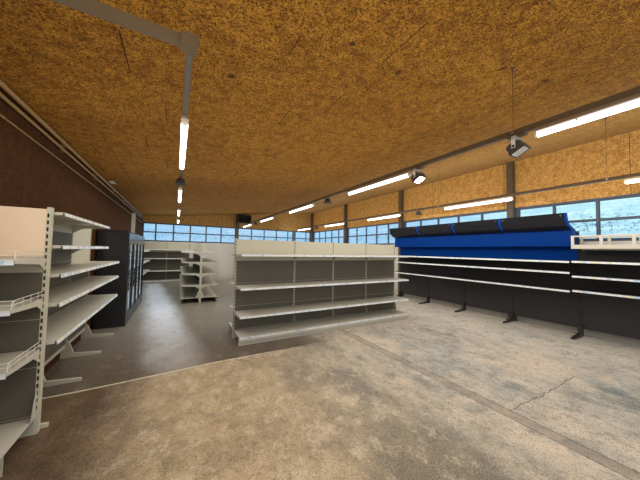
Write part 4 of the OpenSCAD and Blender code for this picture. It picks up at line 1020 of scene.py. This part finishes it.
fence_u = C_NOSE - SHELF_SET_BACK - 0.006
for level in SHELF_LEVELS:
    w = C_PLINTH + level + 0.014
    for rise in FENCE_RISES:
        ends = [(fence_u, v, w + rise) for v in (C_V + C_WALL + 0.01, C_V + C_L - C_WALL - 0.01)]
        fence.append(wire(ends, 0.002, X, 8))
    post = wire([(fence_u, 0, w), (fence_u, 0, w + FENCE_RISES[-1])], 0.0018, X, 6)
    fence.append(post.copies([(0, v, 0) for v in np.arange(C_V + 0.06, C_V + C_L - 0.05, 0.12)]))
piece("cooler_shelf_fences", fence, WIRE)
LOUVRE = [(0.0, -0.004), (0.004, -0.004), (0.007, -0.012), (0.006, -0.013), (0.002, -0.007), (0.0, -0.007)]
louvre = carried(LOUVRE, (C_NOSE, C_V + 0.25, 0), (C_NOSE, C_V + C_L - 0.25, 0))
piece("cooler_louvres", louvre.copies([(0, 0, w) for w in np.arange(0.045, 0.165, 0.016)]), COOLER)
header = [(C_NOSE, v, C_H - C_HEADER) for v in (C_V + 0.004, C_V + C_L - 0.004)]
piece("cooler_header_trim", carried([(0.0, 0.0), (0.003, 0.001), (0.003, 0.009), (0.0, 0.01)], *header), CHROME)
print("cooler leaf", round(LEAF_W, 3), "x", round(LEAF_H, 3))

# %% [markdown]
# ## Trunking and lamps
# The lamps hang from a steel channel. Between two lamps the channel's mouth is closed by a lighter cover strip, the
# lengths are joined by sleeves, and at each wire a strap goes round the channel and a small plate holds the wire at
# the ceiling. The lamp covers have spring clips.

# %% Trunking details
PITCH, LAMP_0, LAMP_L = 3.1, 0.066, 1.552
LINES = {"left": 1.494, "middle": 4.498, "right": 7.621}
MIDDLE = LINES["middle"]
AFTER_LAMP, AFTER_LAST, CLIP_IN, LAMP_PLAY, LEFT_START = 0.19, 0.04, 0.3, 0.004, 2.31
STRAP_HALF, CLIP_HALF, SLEEVE_HALF, ADAPTER_HALF = 0.014, 0.008, 0.075, 0.076
FLOODS = {1: 1.775, 2: 3.012}
STRAP = [(-0.0252, 0.016), (-0.0234, 0.016), (-0.0234, 0.0568), (0.0234, 0.0568), (0.0234, 0.016),
         (0.0252, 0.016), (0.0252, 0.0586), (-0.0252, 0.0586)]
SLEEVE = [(x * 1.04, y + 0.001) for x, y in STRAP]
COVER = [(-0.0125, -0.0006), (0.0125, -0.0006), (0.016, 0.003), (0.012, 0.0038), (-0.012, 0.0038),
         (-0.016, 0.003)]
CLIP = [(-0.0325, -0.04), (-0.0315, -0.03), (0.0315, -0.03), (0.0325, -0.04), (0.0318, -0.062),
        (0.03, -0.062), (0.0305, -0.044), (-0.0305, -0.044), (-0.03, -0.062), (-0.0318, -0.062)]
HOOK = [(0.005, -0.03), (0.006, -0.012), (0.021, -0.008), (0.024, -0.003), (0.024, 0.0)]


def on_trunk(outline, u, v, half):
    """An outline carried along a line of trunking, from half a length before v to half a length after it."""
    return carried(outline, (u, v - half, TRUNK_H), (u, v + half, TRUNK_H))


straps, covers, plates, sleeves, clips = [], [], [], [], []
for line_name, u in LINES.items():
    first = 1 if line_name == "left" else 0
    for k in range(first, 5):
        lamp = LAMP_0 + k * PITCH
        v = lamp + LAMP_L + (AFTER_LAST if k == 4 else AFTER_LAMP)
        straps.append(on_trunk(STRAP, u, v, STRAP_HALF))
        plates.append(turned(HOOK, (u, v, ceiling(u) - 0.001), steps=16))
        clips += [on_trunk(CLIP, u, lamp + dv, CLIP_HALF) for dv in (CLIP_IN, LAMP_L - CLIP_IN)]
    gaps = [(LAMP_0 + LAMP_L + k * PITCH + LAMP_PLAY, LAMP_0 + (k + 1) * PITCH - LAMP_PLAY)
            for k in range(first, 4)]
    if line_name == "left":
        gaps.insert(0, (LEFT_START, LAMP_0 + PITCH - LAMP_PLAY))
    for a, b in gaps:
        covers.append(on_trunk(COVER, u, (a + b) / 2, (b - a) / 2))
        sleeves.append(on_trunk(SLEEVE, u, (a + b) / 2, SLEEVE_HALF))
piece("trunk_straps", straps, WIRE)
piece("trunk_sleeves", sleeves, TRUNK)
piece("trunk_cover_strips", covers, TRUNK_COVER)
piece("ceiling_hooks", plates, HANGER)
piece("lamp_cover_clips", clips, TRAY)
adapter_end = block((-0.0315, -0.006, TRUNK_H - 0.026), (0.0315, 0.006, TRUNK_H + 0.012), 0.003)
ends = [adapter_end.copies([(MIDDLE, v + way * ADAPTER_HALF, 0)]) for v in FLOODS.values() for way in (-1, 1)]
piece("adapter_ends", ends, TRUNK_COVER)

# %% [markdown]
# Each bell loudspeaker has a rim, a lock nut on its stem, and circles of dark dots, the painted shade of holes, that
# stand for the grille.

# %% Loudspeakers
SPEAKER_V = (5.56, 11.76)
speakers = [(LINES[name], v, 0) for name in ("middle", "right") for v in SPEAKER_V]
speakers.append((LINES["left"], SPEAKER_V[0], 0))
rim = turned([(0.094, 0.0), (0.1003, 0.0), (0.1022, -0.003), (0.1022, -0.009), (0.1003, -0.012), (0.094, -0.012)],
             (0, 0, TRUNK_H - 0.107), steps=40)
nut = turned([(0.022, 0.0), (0.0265, -0.001), (0.0265, -0.011), (0.022, -0.012)], (0, 0, TRUNK_H - 0.003), steps=6)
piece("loudspeaker_rims", rim.copies(speakers), SPEAKER)
piece("loudspeaker_nuts", nut.copies(speakers), WIRE)
turn = np.linspace(0, 2 * np.pi, 40, endpoint=False)
GRILLE = ((0.014, 5), (0.028, 4), (0.042, 2), (0.056, 2), (0.07, 1), (0.083, 1))  # radius, step in angles
circles = [np.stack([r * np.cos(turn[::s]), r * np.sin(turn[::s])], 1) for r, s in GRILLE]
holes = np.concatenate([[(0.0, 0.0)], *circles])
dot = turned([(0.0032, 0.0), (0.0036, -0.0004), (0.002, -0.0006)], steps=6)
dots = dot.copies(np.column_stack([holes, TRUNK_H - 0.1241 + 0.06 * np.hypot(*holes.T)]))
piece("loudspeaker_grille_holes", dots.copies(speakers), HOLE_SHADE_AND_DARK_PLASTIC)

# %% [markdown]
# ## Floodlights
# Each head is an open case. Inside it sits a bright reflector, a funnel with four sides, with a round lens at its
# bottom, and a pane closes the mouth. One of the two is lit: its lens, reflector and pane give light. All of it is
# drawn in the head's own directions and then tilted like the head, and it rides on the head.

# %% Floodlights
FLOOD_TILT, FLOOD_W, MOUTH, RIM, ARM = math.radians(62), 2.8084, 0.064, 0.008, 0.0862
SIN, COS = math.sin(FLOOD_TILT), math.cos(FLOOD_TILT)
PANE_Y = -0.0545


def in_head(shape, v):
    """Puts a shape drawn with x across, y away from the mouth and z up into a tilted head at v."""
    return shape.set_at((MIDDLE, v, FLOOD_W), X, (0, COS, SIN), (0, -SIN, COS))


def glowing(name, tone, strength):
    """A surface that gives light itself, in a slightly uneven tone."""
    finish = Finish(name)
    glow = finish.blend(finish.noise(25) * 0.1, tone, (1.0, 0.85, 0.6))
    finish.colour = finish.blend(finish.noise(40) * 0.15, tone, (0.9, 0.86, 0.78))
    return finish.set(roughness=0.25, emission_color=glow, emission_strength=strength)


def lit_pane():
    """Glass lit from behind: white in the middle, warm towards the rim, by the distance from the pane's middle."""
    finish = Finish("flood_pane_lit")
    middle = CORNER + in_head(Shape([(0, PANE_Y, 0)]), FLOODS[2]).points[0]
    dx, dy, dz = finish.x - middle[0], finish.y - middle[1], finish.z - middle[2]
    far = (dx * dx + dy * dy + dz * dz).power(0.5) + (finish.noise(60) - 0.5) * 0.006
    glow = finish.blend(far.step(0.042, 0.08), (1.0, 0.96, 0.88), (0.22, 0.1, 0.05))
    return finish.set(base_color=(0.8, 0.7, 0.55), roughness=0.3, emission_color=glow, emission_strength=16.0)


FUNNEL = ((MOUTH - 0.0008, -0.0525), (0.034, -0.03), (0.03, -0.028))
funnel_rings = np.array([[(-m, y, -m), (m, y, -m), (m, y, m), (-m, y, m)] for m, y in FUNNEL])
funnel = Shape(funnel_rings.reshape(-1, 3), rings(funnel_rings), [[8, 9, 10, 11]])
lens = turned([(0.024, 0.0), (0.024, -0.004), (0.018, -0.008), (0.008, -0.01)], (0, -0.0285, 0), 1, 24)
front_frame = mitred((-MOUTH - RIM, -MOUTH - RIM), (MOUTH + RIM, MOUTH + RIM),
                     [(0, 0), (0.01, 0), (0.01, 0.0015), (0.002, 0.0025), (0, 0.0025)])
front_frame = front_frame.set_at(Y * -0.056, X, Z, -Y)
inside = MOUTH - 0.001
pane = block((-inside, PANE_Y - 0.001, -inside), (inside, PANE_Y + 0.001, inside), 0.0005)
knob = turned([(0.0072, 0.0), (0.013, 0.001), (0.013, 0.007), (0.009, 0.009)], axis=0, steps=8)
knobs = knob.copies([(ARM, 0, 0)]) + Shape(-knob.points, *knob.faces).copies([(-ARM, 0, 0)])
LENS = {1: plastic("flood_lens_off", (0.72, 0.66, 0.45), 0.25), 2: glowing("flood_lens_lit", (1.0, 0.9, 0.66), 14.0)}
MIRROR = {1: paint("flood_reflector", (0.74, 0.73, 0.7), 0.22, 0.06, metallic=0.35),
          2: glowing("flood_reflector_lit", (1.0, 0.88, 0.66), 3.0)}
PANES = {1: FLOOD_PANE, 2: lit_pane()}
for k, v in FLOODS.items():
    for name, shape, finish in (("reflector", funnel, MIRROR[k]), ("lens", lens, LENS[k]),
                                ("front_frame", front_frame, FLOOD), ("pane", pane, PANES[k])):
        piece(f"flood_{name}_{k}", in_head(shape, v), finish, f"head_{k}")
    piece(f"flood_knobs_{k}", knobs.set_at((MIDDLE, v, FLOOD_W), X, Y, Z), HOLE_SHADE_AND_DARK_PLASTIC, f"yoke_{k}")

# %% [markdown]
# ## Fan heater
# Behind the louvres a round shroud and a fan can be seen, and a row of screws runs round the front frame.

# %% Fan heater
POST_W, HEATER_D, HEATER_H, HEATER_DROP = 0.14, 0.393, 0.445, 0.03
H_U, H_V = 4.356, HALL_L - POST_W - HEATER_D
H_W = ceiling(H_U) - HEATER_H - HEATER_DROP
FAN = np.array([H_U + 0.362, H_V + 0.066, H_W + HEATER_H / 2])
BLADES = 5
shroud = turned([(0.168, 0.0), (0.176, 0.0), (0.176, 0.022), (0.16, 0.022), (0.156, 0.012)], FAN, 1, 40)
hub = turned([(0.03, 0.0), (0.042, 0.006), (0.042, 0.02), (0.02, 0.022)], FAN, 1, 24)
spoke = np.linspace(0.038, 0.15, 8)[:, None]
width = 0.03 + 0.02 * np.sin(np.linspace(0, np.pi, 8))[:, None]


def fan_blade(turn):
    """A blade: radius along, width across, twisted so that its trailing edge lies deeper."""
    leading = np.hstack([spoke, -width, np.full_like(spoke, 0.004)])
    trailing = np.hstack([spoke, width, np.full_like(spoke, 0.016)])
    top = np.stack([leading, trailing, trailing + Z * 0.0015, leading + Z * 0.0015], 1)
    blade = Shape(top.reshape(-1, 3), rings(top), [[0, 1, 2, 3]], [[28, 29, 30, 31]])
    cos, sin = math.cos(turn), math.sin(turn)
    return blade.set_at(FAN + Y * 0.002, (cos, 0, sin), (-sin, 0, cos), Y)


piece("heater_fan_shroud", shroud, HEATER)
piece("heater_fan", [hub] + [fan_blade(turn) for turn in around(BLADES)],
      plastic("fan_grey", (0.11, 0.11, 0.11), 0.4))
screw = turned([(0.0045, 0.0), (0.0045, -0.0015), (0.0028, -0.0028)], axis=1, steps=10)
places = [(H_U + x, H_V - 0.0001, H_W + z) for x in np.linspace(0.02, 0.704, 6) for z in (0.018, 0.427)]
piece("heater_screws", screw.copies(places), WIRE)

# %% [markdown]
# ## Windows
# Each pane is held by a rubber bead on both faces, a profile carried round the pane with mitred corners. Outside, a
# folded metal sill throws the rain clear of the wall.

# %% Windows
SILL_H, ROW_H, ROW_GAP, LOW_ROW = 2.02, 0.3875, 0.038, 2.076
HIGH_ROW = LOW_ROW + ROW_H + ROW_GAP
BAY, BAY_GLASS, MULLION, PANE_START, BACK_POST_U = 3.805, 3.552, 0.046, 0.168, 4.426
PANE_W = (BAY_GLASS + MULLION) / 5
POST_LEFT, POST_RIGHT, BACK_PITCH = 4.328, 4.524, 0.76
BACK_PANE = BACK_PITCH - MULLION
right_panes = [(a, a + PANE_W - MULLION)
               for a in (k * BAY + PANE_START + n * PANE_W for k in range(4) for n in range(5))]
back_panes = [(b - BACK_PANE, b) for b in (POST_LEFT - n * BACK_PITCH for n in range(5))] + [(0.056, 0.528)]
back_panes += [(a, a + BACK_PANE) for a in (POST_RIGHT + n * BACK_PITCH for n in range(4))]
back_panes += [(7.564, 7.852), (8.072, 8.786), (8.832, 9.082)]
BEAD = [(0.0, 0.0), (0.009, 0.0), (0.007, 0.006), (0.001, 0.011), (0.0, 0.011)]
BEAD_FACES = (0.043, -1), (0.067, 1)  # depth in the wall, and the way it faces
beads = []
for panes, wall, across, out in ((right_panes, HALL_W, Y, X), (back_panes, HALL_L, X, Y)):
    for a, b in panes:
        for low in (LOW_ROW, HIGH_ROW):
            ring = mitred((a, low), (b, low + ROW_H), BEAD)
            beads += [ring.set_at(out * (wall + depth), across, Z, out * way)
                      for depth, way in BEAD_FACES]
piece("window_beads", beads, GASKET)
SILL = [(0.0, 0.001), (0.0, 0.016), (0.004, 0.016), (0.006, 0.013), (0.16, 0.004), (0.168, 0.003),
        (0.1685, -0.024), (0.166, -0.024), (0.1655, 0.0005), (0.15, 0.001)]
SILL_U, SILL_V = HALL_W + 0.091, HALL_L + 0.091
piece("window_sills", [carried(SILL, (SILL_U, 0.003, SILL_H), (SILL_U, HALL_L + WALL, SILL_H)),
                       carried(SILL, (-0.238, SILL_V, SILL_H), (HALL_W + WALL, SILL_V, SILL_H), Y)], TRIM)

# %% [markdown]
# ## Posts
# The posts stand on steel plates, each held down by bolts with a nut and a bare end.

# %% Posts
def foot_plate(u0, v0, u1, v1):
    """A plate 12 mm thick from corner to corner."""
    return block((u0, v0, 0.0), (u1, v1, 0.012), 0.002)


PLATE_U = HALL_W - 0.175, HALL_W - 0.001
BOLT = [(0.013, 0.0), (0.013, 0.003), (0.0098, 0.0034), (0.0098, 0.011), (0.006, 0.0114), (0.006, 0.024),
        (0.004, 0.026)]
post_plates = [foot_plate(PLATE_U[0], k * BAY - 0.045, PLATE_U[1], k * BAY + 0.185) for k in (1, 2, 3)]
post_plates += [foot_plate(PLATE_U[0], 4 * BAY - 0.045, PLATE_U[1], HALL_L - 0.001),
                foot_plate(PLATE_U[0], 0.001, PLATE_U[1], 0.185),
                foot_plate(BACK_POST_U - 0.115, HALL_L - 0.175, BACK_POST_U + 0.115, HALL_L - 0.001)]
BOLT_V = {0: (0.162,), 4: (-0.024,)}
bolts = [(HALL_W - 0.158, k * BAY + dv, 0) for k in range(5) for dv in BOLT_V.get(k, (-0.024, 0.164))]
bolts += [(BACK_POST_U + du, HALL_L - 0.158, 0) for du in (-0.094, 0.094)]
piece("post_foot_plates", post_plates, POST)
piece("post_bolts", turned(BOLT, (0, 0, 0.012), steps=12).copies(bolts), WIRE)

# %% [markdown]
# ## Pipes and a lid
# The heating pipes lie in round clips and have thicker joints. A white lid closes a small opening in the ceiling
# above the cooler.

# %% Pipes and a lid
HIGH_PIPE = ceiling(0.062) - 0.072
collars = []
for u, w, r in ((0.062, HIGH_PIPE, 0.024), (0.042, HIGH_PIPE - 0.08, 0.017)):
    half = [(r - 0.001, -0.011), (r + 0.0028, -0.011), (r + 0.0034, -0.008)]
    ring = turned(half + [(a, -b) for a, b in half[::-1]], (u, 0.433, w), 1, 24)
    half = [(r - 0.001, -0.03), (r + 0.003, -0.029), (r + 0.005, -0.02), (r + 0.003, -0.016)]
    joint = turned(half + [(a, -b) for a, b in half[::-1]], (u, 0, w), 1, 24)
    collars += [ring.copies([(0, k * 1.65, 0) for k in range(9)]), joint.copies([(0, v, 0) for v in (3.2, 9.1)])]
piece("pipe_collars", collars, PIPE)
lid = block((0.069, 7.876, -0.007), (0.163, 8.164, -0.0005), 0.002)
lid.points[:, 2] += ceiling(lid.points[:, 0])
piece("ceiling_lid", lid, plastic("ceiling_lid_white", (0.72, 0.7, 0.64), 0.4))

# %% [markdown]
# ## Roof and outer walls
# Seen from outside, the roof sheet has standing seams down its slope, the gutter has spacer straps, and the wall
# has a metal board along its foot.

# %% Roof and outer walls
BOARD_T, BEAM_H, DECK_T, SEAT_GAPS = 0.018, 0.22, 0.09, 0.0006
DECK_TOP = BOARD_T + BEAM_H + DECK_T + SEAT_GAPS
EAVE, OUTSIDE, FOOT_END = 0.236, 0.2402, 0.252
SEAM = [(-0.012, 0.0), (-0.003, 0.003), (-0.003, 0.021), (-0.006, 0.023), (-0.006, 0.026), (0.004, 0.026),
        (0.004, 0.003), (0.012, 0.0)]
edges = [(u, 0, ceiling(u) + DECK_TOP) for u in (-EAVE, HALL_W + EAVE)]
piece("roof_seams", carried(SEAM, *edges, Y).copies([(0, v, 0) for v in np.arange(0.06, HALL_L + 0.2, 0.526)]), SHEET)
GUTTER_W = ceiling(-WALL) + BOARD_T + 0.062
SPACER = [(0.0, -0.0045), (0.0, -0.0015), (0.118, -0.0015), (0.118, -0.012), (0.115, -0.012), (0.115, -0.0045)]
spacer = carried(SPACER, (-0.385, -0.012, GUTTER_W), (-0.385, 0.012, GUTTER_W))
piece("gutter_spacers", spacer.copies([(0, v, 0) for v in np.arange(0.4, HALL_L + 0.1, 0.78)]), ZINC)
FOOT = [(0.0, -0.16), (0.01, -0.16), (0.012, -0.15), (0.012, 0.235), (0.006, 0.25), (0.0, 0.252)]
feet = [carried(FOOT, (u, 0.002, 0), (u, HALL_L + FOOT_END, 0), side)
        for u, side in ((HALL_W + OUTSIDE, X), (-OUTSIDE, -X))]
feet.append(carried(FOOT, (-OUTSIDE, HALL_L + OUTSIDE, 0), (HALL_W + OUTSIDE, HALL_L + OUTSIDE, 0), Y))
piece("wall_foot_boards", feet, TRIM)

# %% [markdown]
# ## Sign panels
# The leaning panels are held by bright round studs near their corners. The panels stay blank.

# %% Sign panels
R, SWEEP, TUCK, HEAD_W = 0.352, math.radians(84), 0.173, 2.24


def on_bow(angle):
    """(out from the shelving's back, height) of a canopy's bow, angle down from its upright head."""
    return (CANOPY_RUN.depth - TUCK - R * math.cos(SWEEP) + R * math.cos(angle),
            HEAD_W + R * math.sin(SWEEP) - R * math.sin(angle))


stud = turned([(0.011, 0.0), (0.011, 0.003), (0.007, 0.005)], steps=14)
studs = []
for bay in range(len(CANOPY_RUN.bays)):
    for x in (0.085, 1.165):
        for angle in (math.radians(9), math.radians(73)):
            out, up = on_bow(angle)
            place = (WALL_BACK - out, CANOPY_RUN.start[1] - bay * CANOPY_BAY - x, up)
            cos, sin = math.cos(angle), math.sin(angle)
            studs.append(stud.set_at(place, Y, (-sin, 0, cos), (-cos, 0, -sin)))
piece("sign_panel_studs", studs, CHROME)

# %% [markdown]
# ## Stage
# The object stands on a plain pale floor under a plain pale sky, so that nothing draws the eye from it.

# %% Floor and sky
stage_data = bpy.data.meshes.new("stage_floor")
stage_data.from_pydata([(-60, -60, 0), (60, -60, 0), (60, 60, 0), (-60, 60, 0)], [], [(0, 1, 2, 3)])
stage_floor = bpy.data.objects.new("stage_floor", stage_data)
bpy.context.scene.collection.objects.link(stage_floor)
pale = Finish("stage_pale")
stage_data.materials.append(pale.set(base_color=(0.8, 0.8, 0.79), roughness=0.9).material)

world = bpy.data.worlds.new("sky")
bpy.context.scene.world = world
world.use_nodes = True
background = world.node_tree.nodes["Background"]
background.inputs["Color"].default_value = (0.9, 0.93, 0.95, 1)
background.inputs["Strength"].default_value = 1.0
bpy.context.scene.view_settings.view_transform = "Standard"
print("sky", tuple(round(c, 2) for c in background.inputs["Color"].default_value))

# %% [markdown]
# Soft lamps under the ceiling stand for what a real room bounces about: large ones face the floor, others face the
# ceiling and the upper walls. Their powers were set against the photograph, one part of the hall after the other.

# %% Soft lamps
def soft_lamp(name, place, towards, size, watts, tone):
    """A rectangle that lights evenly, at place, facing the point towards; neither the camera nor gloss shows it."""
    data = bpy.data.lights.new(name, "AREA")
    data.shape, data.size, data.size_y = "RECTANGLE", *size
    data.energy, data.color = watts, tone
    lamp = bpy.data.objects.new(name, data)
    bpy.context.scene.collection.objects.link(lamp)
    lamp.matrix_world = (Vector(towards) - Vector(place)).to_track_quat("-Z", "Y").to_matrix().to_4x4()
    lamp.location = place
    lamp.visible_camera = lamp.visible_glossy = False


WARM = (1.0, 0.95, 0.87)
for name, place, towards, *rest in (  # size, watts, tone
        ("room_light_near", (4.7, 3.9, 2.88), (4.7, 3.9, 0), (8.6, 7.6), 190, WARM),
        ("room_light_far", (4.7, 11.6, 2.88), (4.7, 11.6, 0), (8.6, 7.6), 172, WARM),
        ("floor_light_right", (7.2, 5.0, 2.9), (7.4, 5.0, 0), (3.6, 7.0), 62, (0.88, 0.96, 1.0)),
        ("aisle_light", (1.5, 9.8, 2.86), (1.5, 9.8, 0), (1.4, 8.4), 66, (0.84, 0.93, 1.0)),
        ("end_bay_light", (1.0, 0.6, 2.4), (0.3, 3.8, 1.6), (1.2, 0.8), 18, WARM),
        ("head_plate_light", (0.35, 2.9, 2.3), (0.22, HALL_L / 4, 1.85), (0.5, 0.3), 3, WARM),
        ("ceiling_light_near_left", (2.6, 3.9, 2.32), (2.6, 3.901, 4), (4.2, 7.6), 61, WARM),
        ("ceiling_light_near_right", (6.9, 3.9, 2.32), (6.9, 3.901, 4), (4.4, 7.6), 91, WARM),
        ("ceiling_light_far_left", (2.6, 11.6, 2.32), (2.6, 11.601, 4), (4.2, 7.6), 19, WARM),
        ("ceiling_light_far_right", (6.9, 11.6, 2.32), (6.9, 11.601, 4), (4.4, 7.6), 44, WARM),
        ("upper_wall_light_near", (7.2, 3.9, 2.5), (HALL_W, 3.9, 3.6), (7.4, 0.9), 79, WARM),
        ("upper_wall_light_far", (7.2, 11.5, 2.5), (HALL_W, 11.5, 3.6), (7.4, 0.9), 42, WARM),
        ("back_wall_light", (4.6, 13.3, 2.5), (4.6, HALL_L, 3.3), (8.6, 0.9), 14, (0.92, 0.97, 1.0))):
    soft_lamp(name, at(*place), at(*towards), *rest)
    print(name, rest[1], "W")

# %% [markdown]
# ## Sizes
# The small pieces must not make the hall larger than its CAD model.
